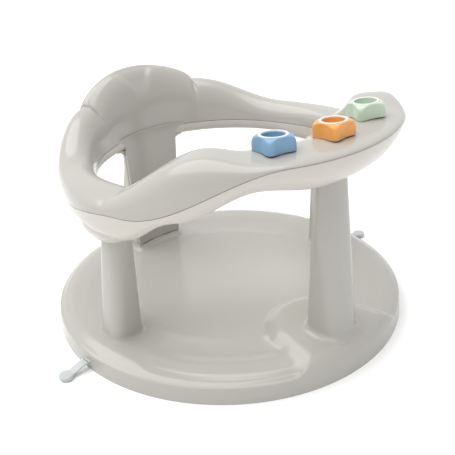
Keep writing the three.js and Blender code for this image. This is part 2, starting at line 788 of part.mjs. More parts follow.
function socketCavity(leg) {
  const low = leg.mouth - 2 * overrun;
  const high = leg.top + gap;
  return solid(legBar(leg.angle, [low, high].map((z) => {
    const [r, h] = legAt(leg, z);
    return [z, r, h + gap];
  })));
}

function rearChannel() {
  const near = rearSkinWall + gap;
  const far = near + rearDepth;
  return rearOutline(rearLow, keelHeightBack + ringWall, 0, keelHeightBack)
    .intersect(rearWall(rearLow, keelHeightBack + ringWall, near, far));
}

function rearHollow() {
  const near = rearSkinWall + gap;
  const low = rearLow + rearFloor;
  const high = lipHeightBack;
  return rearOutline(low, high, -ringWall - rearCornerRound / 4, keelHeightBack)
    .intersect(rearWall(low, high, near - overrun, near + rearDepth - ringWall));
}

function shell() {
  let body = solid(sweptWall(shellLine, ringWall));
  body = body.add(rearChannel());
  coverScrewPlaces().forEach(([pitch, angle]) => {
    const keel = alongRing(angle, keelHeights);
    body = body.add(upright(screwHeadRadius + gap + ringWall, keel + ringWall / 2,
      keel + screwWellDepth + ringWall, pitch, angle));
  });
  legs.forEach((leg) => {
    body = body.add(socketOuter(leg));
    body = body.add(upright(screwPostRadius, leg.top + gap, leg.top + socketPostHeight, leg.topPitch, leg.angle));
  });
  body = body.subtract(rearHollow()).subtract(rearSkin(gap));
  body = body.subtract(solid(sweptWall(coverLine, ringWall, gap)));
  legs.forEach((leg) => {
    body = body.subtract(socketCavity(leg));
    body = body.subtract(upright(screwRadius + gap, leg.top - overrun,
      leg.top + socketPostHeight - socketPostTop, leg.topPitch, leg.angle));
  });
  coverScrewPlaces().forEach(([pitch, angle]) => {
    const keel = alongRing(angle, keelHeights);
    const seat = keel + screwWellDepth;
    body = body.subtract(upright(screwRadius + gap, keel, seat + ringWall + overrun, pitch, angle));
    body = body.subtract(upright(screwHeadRadius + gap, keel - overrun, seat, pitch, angle));
  });
  rearScrewPlaces().forEach(([pitch, angle]) => {
    body = body.subtract(upright(screwRadius + gap, rearLow - overrun, rearLow + screwReach, pitch, angle));
  });
  addPiece('ring_shell', body, ivoryPlastic);
}

// A pan-head screw that points up, its head's top face at a height
function screw(name, pitch, angle, seat, reach = screwReach) {
  const low = seat - screwHeadHeight;
  const high = seat + reach;
  const shape = turned([[0, low], [screwHeadFlat, low], [screwHeadRadius, seat - screwHeadEdge],
    [screwHeadRadius, seat], [screwRadius, seat], [screwRadius, high], [0, high]], screwSteps);
  const at = place(pitch, angle, 0);
  addPiece(name, solid(shape.translate(at.x, at.y, 0)), steelFinish);
}

function screws() {
  legs.forEach((leg) => {
    screw(`leg_screw_${leg.side}`, leg.topPitch, leg.angle, leg.top - legTopPlate - gap);
  });
  rearScrewPlaces().forEach(([pitch, angle], i) => {
    screw(`rear_foot_screw_${i === 0 ? 'left' : 'right'}`, pitch, angle, levelPadHeight - baseWall - gap,
      plinthHeight + screwReach);
  });
  coverScrewPlaces().forEach(([pitch, angle], i) => {
    const side = angle < 0 ? 'left' : 'right';
    screw(`cover_screw_${side}_${Math.floor(i / 2) + 1}`, pitch, angle, alongRing(angle, keelHeights) + screwWellDepth - gap);
  });
}

function suctionCup(name, angle) {
  const shape = turned([
    [0, cupDomeMiddle],
    [cupDomeRadius, cupDomeTop],
    [cupRadius - cupLip - cupEdgeIn, cupEdgeLift],
    [cupRadius - cupLip, 0],
    [cupRadius, 0],
    [cupRadius, cupRimHeight],
    [cupRadius - cupLip, cupEdgeRise],
    [cupDomeOuterRadius, cupDomeOuterTop],
    [cupNeckRadius, cupShoulder],
    [cupStemRadius, cupShoulder],
    [cupStemRadius, cupStemTop],
    [0, cupStemTop],
  ], roundSteps);
  const at = place(cupPitch, angle, 0);
  let body = solid(shape.translate(at.x, at.y, 0));
  if (angle === cupAngles.left || angle === cupAngles.right) body = body.add(cupStrip(angle));
  addPiece(name, body, siliconeFinish);
}

// A flat strip that follows [distance out, height] points towards an angle
function strip(line, angle) {
  const half = tabThickness / 2;
  const upper = line.map(([x, z]) => new THREE.Vector2(x, z + half));
  const lower = line.map(([x, z]) => new THREE.Vector2(x, z - half)).reverse();
  const shape = new THREE.ExtrudeGeometry(new THREE.Shape([...lower.reverse(), ...upper.reverse()]),
    { depth: tabWidth, bevelEnabled: false });
  shape.rotateX(Math.PI / 2).translate(0, tabWidth / 2, 0);
  return solid(turnedTo(shape, angle - 90));
}

const tabHinge = baseRadius + tabHingeOut;

// The strip moulded on a side cup's edge, which runs out through the skirt
function cupStrip(angle) {
  const start = cupPitch + cupRadius - cupLip;
  const high = tabHeight;
  return strip([[start, tabThickness / 2], [start + tabRise, high],
    [tabHinge - tabKnuckle - gap, high]], angle);
}

// A release tab: a round knuckle at its bend line, a strip and a round finger pad
function releaseTab(name, angle) {
  const knuckle = new THREE.CylinderGeometry(tabKnuckle, tabKnuckle, tabWidth, roundSteps / 2);
  knuckle.rotateZ(Math.PI / 2).translate(0, -tabHinge, tabHeight);
  const low = tabPadHeight - tabPadThickness / 2;
  const finger = disc(tabPadRadius, low, low + tabPadThickness, roundSteps).translate(0, -tabReach, 0);
  const body = strip([[tabHinge, tabHeight], [tabReach - tabPadRadius, tabPadHeight + tabThickness / 2],
    [tabReach, tabPadHeight]], angle);
  addPiece(name, body.add(solid(turnedTo(knuckle, angle))).add(solid(turnedTo(finger, angle))), siliconeFinish);
}

// A toy's body: four rounded lobes at the foot that run into a round top, with a round recess
function toyShape() {
  const rows = [[0, toyCorner, toyWaist], [toyLowHeight, toyCornerLow, toyWaistLow],
    [toyHighHeight, toyCornerHigh, toyWaistHigh], [toyBody, toyCornerTop, toyWaistTop]];
  const loops = rows.map(([z, corner, waist]) => {
    const loop = [];
    for (let i = 0; i < lobeSteps; i += 1) {
      const a = (2 * Math.PI * i) / lobeSteps;
      const r = (corner + waist) / 2 - ((corner - waist) / 2) * Math.cos(toyLobes * a);
      loop.push(new THREE.Vector3(r * Math.cos(a), r * Math.sin(a), z));
    }
    return loop;
  });
  const recess = disc(toyRecessRadius, toyBody - toyRecessDepth, toyBody + overrun);
  const seat = disc(toyRingOuter + gap, toyBody - toyRingThickness / 2, toyBody + overrun);
  const bore = disc(spindleRadius + gap, -overrun, toyBody, spindleSteps);
  return solid(skin(loops, false)).subtract(solid(recess)).subtract(solid(seat)).subtract(solid(bore));
}

function toyRing() {
  const low = toyBody - toyRingThickness / 2 + gap;
  const high = low + toyRingThickness;
  return turnedRing([[toyRecessRadius + gap, low], [toyRingOuter, low], [toyRingOuter, high - toyRingRound],
    [toyRingOuter - toyRingRound, high], [toyRecessRadius + gap, high]]);
}

function toySpindle() {
  const floor = toyBody - toyRecessDepth + gap;
  const tip = -toySeatDepth - clipThickness - spindleTipOut;
  return turned([[0, tip], [spindleRadius, tip], [spindleRadius, floor], [spindleHead, floor],
    [spindleHead, floor + spindleHeadEdge], [spindleHeadFlat, floor + spindleHeadThickness],
    [0, floor + spindleHeadThickness]], spindleSteps);
}

function toyClip() {
  const high = -toySeatDepth - gap;
  return turnedRing([[spindleRadius + gap, high - clipThickness], [clipRadius, high - clipThickness],
    [clipRadius, high], [spindleRadius + gap, high]], spindleSteps);
}

function toys() {
  Object.entries(toyAngles).forEach(([colour, angle]) => {
    const frame = toyFrame(angle);
    const turn = new THREE.Matrix4().makeRotationZ(THREE.MathUtils.degToRad(toyTurns[colour]));
    const onSeat = frame.clone().multiply(turn.setPosition(0, 0, gap));
    const body = toyShape().transform(onSeat.elements);
    addPiece(`toy_${colour}`, body, { color: toyColours[colour], roughness: 0.35, metalness: 0 });
    addPiece(`toy_${colour}_ring`, solid(moved(toyRing(), onSeat)), whitePlastic);
    addPiece(`toy_${colour}_spindle`, solid(moved(toySpindle(), onSeat)), whitePlastic);
    addPiece(`toy_${colour}_clip`, solid(moved(toyClip(), frame)), whitePlastic);
  });
}

base();
cover();
shell();
screws();
Object.entries(cupAngles).forEach(([where, angle]) => suctionCup(`suction_cup_${where}`, angle));
releaseTab('release_tab_left', cupAngles.left);
releaseTab('release_tab_right', cupAngles.right);
toys();

export default part;
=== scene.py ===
"""Looks of a baby bath ring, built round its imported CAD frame.

The shapes are worked out in millimetres with numpy, as grids of points, and put into meshes in
metres. Angles run in degrees from the front of the ring (-Y) towards +X, and heights from the
bath floor.
"""

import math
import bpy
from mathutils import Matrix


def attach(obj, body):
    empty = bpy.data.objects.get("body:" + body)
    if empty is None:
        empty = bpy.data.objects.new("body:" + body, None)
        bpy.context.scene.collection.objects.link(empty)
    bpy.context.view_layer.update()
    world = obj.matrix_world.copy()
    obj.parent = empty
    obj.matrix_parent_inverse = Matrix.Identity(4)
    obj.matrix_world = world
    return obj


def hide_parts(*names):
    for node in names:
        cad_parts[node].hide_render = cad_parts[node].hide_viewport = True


bl_info = {
    "name": "Baby bath ring",
    "version": (1, 0, 0),
    "blender": (4, 5, 0),
    "location": "3D View > Sidebar > Bath ring",
    "description": "Builds a baby bath ring with three tray toys round its packed frame",
    "category": "Add Mesh",
}

import bmesh
import bpy
import numpy as np
from bpy.props import FloatProperty, FloatVectorProperty, PointerProperty
from mathutils import Matrix, Vector

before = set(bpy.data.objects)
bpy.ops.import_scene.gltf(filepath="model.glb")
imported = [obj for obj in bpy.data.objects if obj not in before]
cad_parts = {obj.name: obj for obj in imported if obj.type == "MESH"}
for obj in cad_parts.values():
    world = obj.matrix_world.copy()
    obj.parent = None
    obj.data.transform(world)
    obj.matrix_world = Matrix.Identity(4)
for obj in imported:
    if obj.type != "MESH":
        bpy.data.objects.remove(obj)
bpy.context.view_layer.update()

MM = 0.001

# Angles of the base's pads, legs and cups
LEFT, RIGHT, RIGHT_LEG, BACK = -90.0, 86.0, 83.0, 180.0

GAP = 0.3
RING_WALL = 2.2
FALL_POWER = 2.1


# Eased steps between stations

def smooth(t):
    """Half a cosine wave from 0 to 1."""
    return (1 - np.cos(np.pi * t)) / 2


def fall(t):
    """The mean of a power of t and half a cosine wave."""
    return (t ** FALL_POWER + smooth(t)) / 2


def crown(t):
    """A quarter of a sine wave, raised to a power below one, so it leaves 0 steeply."""
    return np.sin(np.pi * np.clip(t, 0, 1) / 2) ** 0.6


def along_ring(angle, stations):
    """A size at an angle, the same on both sides, eased between stations of (angle, size, easing)."""
    a = np.abs(angle)
    out = np.full(a.shape, float(stations[0][1]))
    for (low, start, *_), (high, end, *ease) in zip(stations, stations[1:]):
        shape = ease[0] if ease else smooth
        t = np.clip((a - low) / (high - low), 0, 1)
        out = np.where(a > low, start + (end - start) * shape(t), out)
    return out


CREST_HEIGHTS = [(0, 189.6), (32, 189.6), (46, 193.5), (79, 156, fall), (112, 153.5), (152, 176),
                 (180, 197, crown)]
CREST_RADII = [(0, 140), (32, 140), (46, 134), (79, 124), (112, 127), (152, 131.5), (180, 134)]
SEAM_RADII = [(0, 151.5), (46, 151.5), (79, 148.5), (112, 140), (152, 140), (180, 143)]
SEAM_HEIGHTS = [(0, 186.6), (24, 186.6), (72, 146.5), (112, 132), (180, 132)]
LIP_RADII = [(0, 103), (24, 103), (46, 106), (79, 109), (112, 110.5), (180, 110.5)]
LIP_HEIGHTS = [(0, 172), (24, 172), (46, 170), (79, 140), (112, 137.0), (180, 137.0)]
KEEL_HEIGHTS = [(0, 158), (11.5, 158), (31.7, 164), (56, 143), (76, 121), (98, 122), (112, 126), (180, 126)]
COVER_SQUARENESS = [(0, 4.4), (46, 4.4), (79, 2.5), (112, 2.3), (180, 2.3)]
HULL_SQUARENESS = [(0, 1.8), (46, 1.8), (79, 2.7), (112, 2.3), (180, 2.3)]
ARM_BULGE = [(0, 0), (79, 0), (112, 3), (180, 3)]
OUTER_SQUARENESS, LIP_SQUARENESS = 2.3, 3.8
KEEL_SHARE = 0.5
# The backrest's channel narrows as it runs down, and a fold parts the backrest from each arm. Shares
# are of the inner face's height
RELIEF_TOP_SHARE, VALLEY_RISE, FOLD_HIGH_SHARE = 0.86, 0.25, 0.8
VALLEY_DEPTH, VALLEY_TOP_HALF, VALLEY_LOW_HALF, VALLEY_EDGE, VALLEY_LOW_SHARE = 2.6, 9.5, 0.5, 2.6, 0.34
FOLD_ANGLE, FOLD_LEAN, FOLD_DEPTH, FOLD_EDGE, FOLD_FADE, FOLD_LOW_SHARE = 152.5, 7.0, 3.4, 1.4, 9.0, 0.4


# Meshes from grids

def place(radius, degrees, z):
    """Points at a radius from the middle, an angle from the front and a height."""
    a = np.radians(degrees)
    return np.stack(np.broadcast_arrays(radius * np.sin(a), -radius * np.cos(a), z), axis=-1)


def grid_faces(rows, columns, wrap_rows, wrap_columns):
    """Quads between neighbouring points of a grid, which may close on itself either way."""
    i = np.arange(rows if wrap_rows else rows - 1)[:, None]
    j = np.arange(columns if wrap_columns else columns - 1)[None, :]
    below, beside = (i + 1) % rows, (j + 1) % columns
    corners = [i * columns + j, i * columns + beside, below * columns + beside, below * columns + j]
    return np.stack(np.broadcast_arrays(*corners), axis=-1).reshape(-1, 4)


def closed_grid(points, wrap_rows, wrap_columns=True):
    """A grid's points and faces, as one shell."""
    rows, columns = points.shape[:2]
    return points.reshape(-1, 3), grid_faces(rows, columns, wrap_rows, wrap_columns)


def bar(points):
    """A bar from loops of points: its two end loops are closed by a row at each loop's middle."""
    ends = [np.broadcast_to(points[k].mean(axis=0), points[k].shape) for k in (0, -1)]
    return closed_grid(np.concatenate([ends[0][None], points, ends[1][None]]), False)


def make_piece(node, shells, body, slot, look=None, sharp=50.0, weld=1e-6):
    """One mesh object in a CAD node's place, from closed shells in millimetres, smooth but for edges
    sharper than an angle. Its finish has the slot's name unless a look is given."""
    points, faces, start = [], [], 0
    for shell_points, shell_faces in shells:
        points.append(shell_points)
        faces.append(shell_faces + start)
        start += len(shell_points)
    mesh = bpy.data.meshes.new(f"{node}_looks")
    mesh.from_pydata((np.concatenate(points) * MM).tolist(), [], np.concatenate(faces).tolist())
    work = bmesh.new()
    work.from_mesh(mesh)
    bmesh.ops.remove_doubles(work, verts=work.verts, dist=weld)
    bmesh.ops.dissolve_degenerate(work, edges=work.edges, dist=weld)
    bmesh.ops.recalc_face_normals(work, faces=work.faces)
    work.to_mesh(mesh)
    work.free()
    mesh.shade_smooth()
    mesh.set_sharp_from_angle(angle=math.radians(sharp))
    piece = bpy.data.objects.new(f"{node}_looks", mesh)
    bpy.context.scene.collection.objects.link(piece)
    mesh.materials.append(finish(look or slot))
    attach(piece, body)
    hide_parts(node)
    return piece


def soften(piece, width, angle=50.0, segments=2):
    """A narrow bevel along the piece's sharp edges."""
    bevel = piece.modifiers.new("soft_edges", "BEVEL")
    bevel.width = width * MM
    bevel.segments = segments
    bevel.limit_method = "ANGLE"
    bevel.angle_limit = math.radians(angle)
    bevel.miter_outer = "MITER_ARC"
    return bevel


def turned(profile, steps, closed=False):
    """A surface of revolution about Z from (radius, height) points; the ends lie on the axis unless
    the profile closes on itself."""
    profile = np.asarray(profile, float)
    turn = np.linspace(0, 360, steps, endpoint=False)
    points = place(profile[:, 0][:, None], turn[None, :], profile[:, 1][:, None])
    return closed_grid(points, closed)


def rounded(profile, radii, steps=4, closed=True):
    """A polygon with its corners rounded: each corner becomes an arc-like curve, a quadratic blend
    of the points where the round leaves the two sides, and the corner itself."""
    points = np.asarray(profile, float)
    out = []
    count = len(points)
    for k in range(count):
        radius = radii[k]
        if radius <= 0 or (not closed and k in (0, count - 1)):
            out.append(points[k][None])
            continue
        before, here, after = points[k - 1], points[k], points[(k + 1) % count]
        start = here + (before - here) * min(0.5, radius / np.linalg.norm(before - here))
        end = here + (after - here) * min(0.5, radius / np.linalg.norm(after - here))
        t = np.linspace(0, 1, steps + 1)[:, None]
        out.append((1 - t) ** 2 * start + 2 * t * (1 - t) * here + t ** 2 * end)
    return np.concatenate(out)


def superellipse(half_x, half_y, squareness, steps):
    """Points round a rounded rectangle: the powers of cosine and sine of a turn, kept evenly spread
    by spacing the turn's steps at the corners."""
    turn = np.linspace(0, 2 * np.pi, steps, endpoint=False)
    c, s = np.cos(turn), np.sin(turn)
    reach = (np.abs(c) ** squareness + np.abs(s) ** squareness) ** (-1 / squareness)
    return half_x * reach * c, half_y * reach * s


def leg_bar(angle, stations, squareness=2.8, steps=72):
    """Upright bar of rounded squares: each station is (height, centre radius, half width, half depth)."""
    loops = []
    for z, pitch, half, deep in stations:
        x, y = superellipse(half, deep, squareness, steps)
        loops.append(np.stack([x, y - pitch, np.full(steps, z)], axis=-1))
    points = np.stack(loops)
    a = math.radians(angle)
    turn = np.array([[math.cos(a), math.sin(a), 0], [-math.sin(a), math.cos(a), 0], [0, 0, 1]])
    return points @ turn


# The seat ring's surfaces

def quarter(start, end, squareness, steps):
    """A quarter of a rounded rectangle at each angle: it leaves start upwards or downwards and
    reaches end level. The turn's steps are spread so that both straight ends get points.
    Returns radii, heights and the turn."""
    half = np.broadcast_to(np.asarray(squareness, float), start[0].shape)[:, None] / 2
    share = np.linspace(0, 1, steps + 1)[None, :]
    turn = np.pi / 2 * share ** half / (share ** half + (1 - share) ** half)
    across = np.clip(np.cos(turn), 0, 1) ** (1 / half)
    up = np.sin(turn) ** (1 / half)
    radius = end[0][:, None] + (start[0] - end[0])[:, None] * across
    height = start[1][:, None] + (end[1] - start[1])[:, None] * up
    return radius, height, turn


def step_up(value, low, high):
    """0 up to low, 1 from high, and half a cosine wave between."""
    return smooth(np.clip((value - low) / (high - low), 0, 1))


def backrest_relief(angle, share):
    """How far the inner face stands back at an angle and a share of its height: the channel is flat
    between two eased sides that draw together downwards, and beyond each fold the backrest starts
    set back and comes forward again along a falling exponential."""
    top = 1 - step_up(share, RELIEF_TOP_SHARE, 1.0)
    half = VALLEY_LOW_HALF + (VALLEY_TOP_HALF - VALLEY_LOW_HALF) * np.clip(
        (share - VALLEY_LOW_SHARE) / (1 - VALLEY_LOW_SHARE), 0, 1)
    off = 180 - np.abs(angle)
    valley = VALLEY_DEPTH * (1 - step_up(off, half, half + VALLEY_EDGE)) * step_up(
        share, VALLEY_LOW_SHARE, VALLEY_LOW_SHARE + VALLEY_RISE)
    past = np.abs(angle) - FOLD_ANGLE + FOLD_LEAN * (1 - share)
    fold = FOLD_DEPTH * step_up(past, 0, FOLD_EDGE) * np.exp(-np.clip(past, 0, None) / FOLD_FADE)
    return (valley + fold * step_up(share, FOLD_LOW_SHARE, FOLD_HIGH_SHARE)) * top


def cover_line(angle, inset=0.0, inner_steps=26, outer_steps=22):
    """The cover's line from the inner lip over the crest to the seam, at each angle. The inset draws
    it in from outside."""
    lip = (along_ring(angle, LIP_RADII) + inset, along_ring(angle, LIP_HEIGHTS))
    crest = (along_ring(angle, CREST_RADII), along_ring(angle, CREST_HEIGHTS) - inset)
    seam = (along_ring(angle, SEAM_RADII) - inset, along_ring(angle, SEAM_HEIGHTS))
    inner_r, inner_z, turn = quarter(lip, crest, along_ring(angle, COVER_SQUARENESS), inner_steps)
    inner_r = inner_r + backrest_relief(angle[:, None], turn / (np.pi / 2))
    outer_r, outer_z, turn = quarter(seam, crest, OUTER_SQUARENESS, outer_steps)
    outer_r = outer_r + along_ring(angle, ARM_BULGE)[:, None] * np.sin(2 * turn)
    return (np.concatenate([inner_r, outer_r[:, ::-1][:, 1:]], axis=1),
            np.concatenate([inner_z, outer_z[:, ::-1][:, 1:]], axis=1))


def shell_line(angle, inset=0.0, outer_steps=18, inner_steps=12):
    """The shell's line from the seam under the keel to the inner lip, at each angle."""
    lip = (along_ring(angle, LIP_RADII) + inset, along_ring(angle, LIP_HEIGHTS) - GAP)
    seam = (along_ring(angle, SEAM_RADII) - inset, along_ring(angle, SEAM_HEIGHTS) - GAP)
    keel = (lip[0] + KEEL_SHARE * (seam[0] - lip[0]), along_ring(angle, KEEL_HEIGHTS) + inset)
    outer_r, outer_z, _ = quarter(seam, keel, along_ring(angle, HULL_SQUARENESS), outer_steps)
    inner_r, inner_z, _ = quarter(lip, keel, LIP_SQUARENESS, inner_steps)
    return (np.concatenate([outer_r, inner_r[:, ::-1][:, 1:]], axis=1),
            np.concatenate([outer_z, inner_z[:, ::-1][:, 1:]], axis=1))


def ring_angles():
    """Angles round the ring: one degree apart, and closer across the folds beside the backrest."""
    fine = np.arange(FOLD_ANGLE - 8, FOLD_ANGLE + 4, 0.25)
    return np.unique(np.concatenate([np.arange(-180, 180, 1.0), fine, -fine]))


def round_corner(points, at, radius):
    """The corner at one place of every line, as a quadratic curve between points a radius away on
    both sides."""
    here = points[:, at]
    ends = []
    for beside in (points[:, at - 1], points[:, (at + 1) % points.shape[1]]):
        away = beside - here
        length = np.linalg.norm(away, axis=1)
        ends.append(here + away * np.minimum(radius / length, 0.45)[:, None])
    t = np.linspace(0, 1, 5)[None, :, None]
    return (1 - t) ** 2 * ends[0][:, None] + 2 * t * (1 - t) * here[:, None] + t ** 2 * ends[1][:, None]


def swept_wall(line, wall, edge, lip_corner, lip_radius):
    """A ring swept round the origin: at each angle, out along the line and back along its inset, with
    rounded edges. The front edge of the lip has its own radius at each angle."""
    angle = ring_angles()
    outer, inner = line(angle), line(angle, wall)
    points = np.concatenate([np.stack(outer, axis=-1), np.stack(inner, axis=-1)[:, ::-1]], axis=1)
    last = outer[0].shape[1] - 1
    radii = {0: edge, last: edge, last + 1: edge, 2 * last + 1: edge}
    radii[lip_corner % points.shape[1]] = lip_radius(angle)
    parts, start = [], 0
    for at in sorted(radii):
        parts += [points[:, start:at], round_corner(points, at, radii[at])]
        start = at + 1
    loops = np.concatenate(parts, axis=1)
    return closed_grid(place(loops[..., 0], angle[:, None], loops[..., 1]), True)


def cover_top(angle, radius):
    """Height of the cover's top face at one angle and radius."""
    r, z = cover_line(np.array([float(angle)]))
    return float(np.interp(radius, r[0], z[0]))


# Base

BASE_RADIUS, SKIRT_DRAFT, RIM_ROUND, RIM_HEIGHT = 158.3, 1.0, 14.0, 19.0
GUTTER_HEIGHT, FLOOR_HEIGHT = 14.6, 18.0
RIM_INNER, GUTTER_RADIUS, FLOOR_RADIUS = 134.0, 110.0, 96.0
BASE_WALL = 2.6
PAD_CENTRE, PAD_FLARE_SHARE, PAD_BLEND, PAD_BLEND_REACH = 112.0, 0.25, 4.0, 4.0
FRONT_PAD_HEIGHT = 25.0
PADS = [  # angle, top, half width at the foot of its slope, slope
    (0.0, FRONT_PAD_HEIGHT, 55.0, 23.0),
    (LEFT, FLOOR_HEIGHT, 62.0, 30.0),
    (RIGHT, FLOOR_HEIGHT, 62.0, 30.0),
    (BACK, FLOOR_HEIGHT, 62.0, 30.0),
]
LEG_FILLET, LEG_DEPTH_SHARE, LEG_FOOT_SPREAD, LEG_SINK, LEG_TOP_ROUND = 5.0, 0.94, 1.25, 0.6, 1.5
LEGS = {  # angle, foot height, top height, foot pitch, top pitch, foot half, top half
    "front": (0.0, 25.0, 168.0, 126.0, 120.0, 18.4, 11.3),
    "left": (LEFT, 18.0, 128.0, 122.0, 115.8, 16.0, 10.5),
    "right": (RIGHT_LEG, 18.0, 128.0, 122.0, 115.8, 16.0, 10.5),
}


def soft_max(a, b, width):
    """The larger of two values, blended by a parabola where they differ by less than a width."""
    return np.maximum(a, b) + np.clip(width - np.abs(a - b), 0, None) ** 2 / (4 * np.maximum(width, 1e-6))


def basin(radius):
    """Height of the dish without its pads: rim, gutter and floor, joined by half cosine waves."""
    rise = smooth(np.clip((radius - GUTTER_RADIUS) / (RIM_INNER - GUTTER_RADIUS), 0, 1))
    fall_in = smooth(np.clip((GUTTER_RADIUS - radius) / (GUTTER_RADIUS - FLOOR_RADIUS), 0, 1))
    return np.where(radius > GUTTER_RADIUS, GUTTER_HEIGHT + (RIM_HEIGHT - GUTTER_HEIGHT) * rise,
                    GUTTER_HEIGHT + (FLOOR_HEIGHT - GUTTER_HEIGHT) * fall_in)


def pad_height(x, y, pad):
    """Height of a pad: half a cosine wave of the distance in from its outline, which is round
    towards the middle and flares to the rim."""
    angle, top, half, slope = pad
    a = math.radians(angle)
    across = x * math.cos(a) + y * math.sin(a)
    out = x * math.sin(a) - y * math.cos(a) - PAD_CENTRE
    off = np.where(out < 0, np.hypot(across, out), np.abs(across) - out * PAD_FLARE_SHARE)
    return GUTTER_HEIGHT + (top - GUTTER_HEIGHT) * smooth(np.clip((half - off) / slope, 0, 1))


def base_top(radius, angle, drop):
    """Height of the base's top: the dish and its pads, each let down by the rim's drop, with the
    creases between them blended."""
    p = place(radius, angle, 0)
    height = basin(radius) - drop
    for pad in PADS:
        level = np.minimum(pad_height(p[..., 0], p[..., 1], pad), pad[1] - drop)
        width = PAD_BLEND * np.clip((radius - FLOOR_RADIUS + PAD_BLEND_REACH) / (2 * PAD_BLEND_REACH), 0, 1)
        height = soft_max(height, level, width)
    return height


def base_shell(columns=540):
    """The dish as one closed wall: up the skirt, round the rim and in to the middle, then back out
    underneath, set in by the wall."""
    angle = np.linspace(0, 360, columns, endpoint=False)[None, :]
    edge = BASE_RADIUS - SKIRT_DRAFT - RIM_ROUND
    turn = np.radians(np.linspace(0, 90, 15))[:, None]
    rim_r = edge + RIM_ROUND * np.cos(turn)
    rim_drop = RIM_ROUND * (1 - np.sin(turn))
    rim_z = base_top(np.broadcast_to(rim_r, (len(turn), columns)), angle, rim_drop)
    share = np.linspace(0, 1, 4, endpoint=False)[:, None]
    skirt_r = BASE_RADIUS - SKIRT_DRAFT * share + 0 * angle
    skirt_z = rim_z[:1] * share
    inside = np.concatenate([np.linspace(edge, 48, 62)[1:], np.linspace(48, 0, 9)[1:]])[:, None] + 0 * angle
    inside_z = base_top(inside, angle, 0.0)
    outer = np.concatenate([skirt_r, rim_r + 0 * angle, inside])
    outer_z = np.concatenate([skirt_z, rim_z, inside_z])
    under = np.linspace(0, edge, 40)[:, None] + 0 * angle
    under_z = base_top(under, angle, 0.0) - BASE_WALL
    turn = turn[::-1][1:]
    below_r = edge + (RIM_ROUND - BASE_WALL) * np.cos(turn)
    below_z = base_top(below_r + 0 * angle, angle, RIM_ROUND * (1 - np.sin(turn))) - BASE_WALL * np.sin(turn)
    foot_r = np.array([[BASE_RADIUS - BASE_WALL]]) + 0 * angle
    radius = np.concatenate([outer, under, below_r + 0 * angle, foot_r])
    height = np.concatenate([outer_z, under_z, below_z, 0 * angle])
    return closed_grid(place(radius, angle, height), True)


def leg_size(leg, z):
    """Centre radius and half width of a leg at a height, both straight lines of the height."""
    _, foot, top, foot_pitch, top_pitch, foot_half, top_half = leg
    t = (z - foot) / (top - foot)
    return foot_pitch + (top_pitch - foot_pitch) * t, foot_half + (top_half - foot_half) * t


def leg_shell(leg):
    """A leg: a quarter-round fillet at its foot, straight sides and a closed, softly rounded top."""
    angle, foot, top = leg[:3]
    stations = []

    def add(z, grow):
        pitch, half = leg_size(leg, z)
        stations.append((z, pitch, half + grow, half * LEG_DEPTH_SHARE + grow))

    add(foot - BASE_WALL, LEG_FILLET * LEG_FOOT_SPREAD)
    add(foot - LEG_SINK, LEG_FILLET * LEG_FOOT_SPREAD)
    for a in np.radians(np.linspace(0, 90, 10)):
        add(foot + LEG_FILLET * (1 - math.cos(a)), LEG_FILLET * (1 - math.sin(a)))
    for z in np.linspace(foot + LEG_FILLET, top - LEG_TOP_ROUND, 10)[1:]:
        add(z, 0)
    for a in np.radians(np.linspace(0, 90, 5))[1:]:
        add(top - LEG_TOP_ROUND + LEG_TOP_ROUND * math.sin(a), -LEG_TOP_ROUND * (1 - math.cos(a)))
    return bar(leg_bar(angle, stations))


REAR_FOOT_RADIUS, REAR_TOP_RADIUS, REAR_WALL, REAR_DEPTH = 108.6, 110.5, 2.6, 15.0
REAR_FOOT_HALF, REAR_TOP_HALF, REAR_CORNER = 24.8, 30.4, 9.0
REAR_LOW, REAR_LIP, REAR_KEEL = 23.3, 137.0, 126.0
SKIN_LAP, SKIN_LAP_WALL = 0.03, 1.0
PLINTH_RISE, PLINTH_MARGIN, PLINTH_SPREAD, PLINTH_HOLLOW, PLINTH_SQUARENESS = 5.0, 0.8, 4.4, 2.2, 9
CHANNEL_SQUARENESS = 7
CHANNEL_TOP_DEPTH, CHANNEL_THIN_LOW, CHANNEL_THIN_HIGH = 5.0, 78.0, 117.0


def arc_block(half, near, far, z, squareness, steps=96):
    """A loop round a strip of a ring: a rounded rectangle whose depth is bent round the origin."""
    x, depth = superellipse(half, (far - near) / 2, squareness, steps)
    radius = (near + far) / 2 + depth
    return np.stack([x, np.sqrt(radius ** 2 - x ** 2), np.full(steps, z)], axis=-1)


def plinth_shell():
    """The low plinth under the rear leg: its margin shrinks along a hollow curve as it rises."""
    heights = np.concatenate([[FLOOR_HEIGHT - 1.5], np.linspace(FLOOR_HEIGHT - 0.2, REAR_LOW - GAP, 9)])
    loops = []
    for z in heights:
        t = np.clip((z - FLOOR_HEIGHT) / PLINTH_RISE, 0, 1)
        margin = PLINTH_MARGIN + PLINTH_SPREAD * (1 - t) ** PLINTH_HOLLOW
        far = REAR_FOOT_RADIUS + REAR_WALL + GAP + REAR_DEPTH + margin
        loops.append(arc_block(REAR_FOOT_HALF + margin, REAR_FOOT_RADIUS - margin, far, z, PLINTH_SQUARENESS))
    return bar(np.stack(loops))


def rear_half(z, bend_top):
    """Half width of the rear leg at a height: a straight taper that turns out in a quarter round
    which ends level at bend_top."""
    half = REAR_FOOT_HALF + (REAR_TOP_HALF - REAR_FOOT_HALF) * (z - REAR_LOW) / (REAR_LIP - REAR_LOW)
    sine = np.clip((z - bend_top + REAR_CORNER) / REAR_CORNER, 0, 1)
    return half + REAR_CORNER * (1 - np.sqrt(1 - sine ** 2))


def rear_radius(z):
    """Radius of the rear leg's front face, a straight lean."""
    return REAR_FOOT_RADIUS + (REAR_TOP_RADIUS - REAR_FOOT_RADIUS) * (z - REAR_LOW) / (REAR_LIP - REAR_LOW)


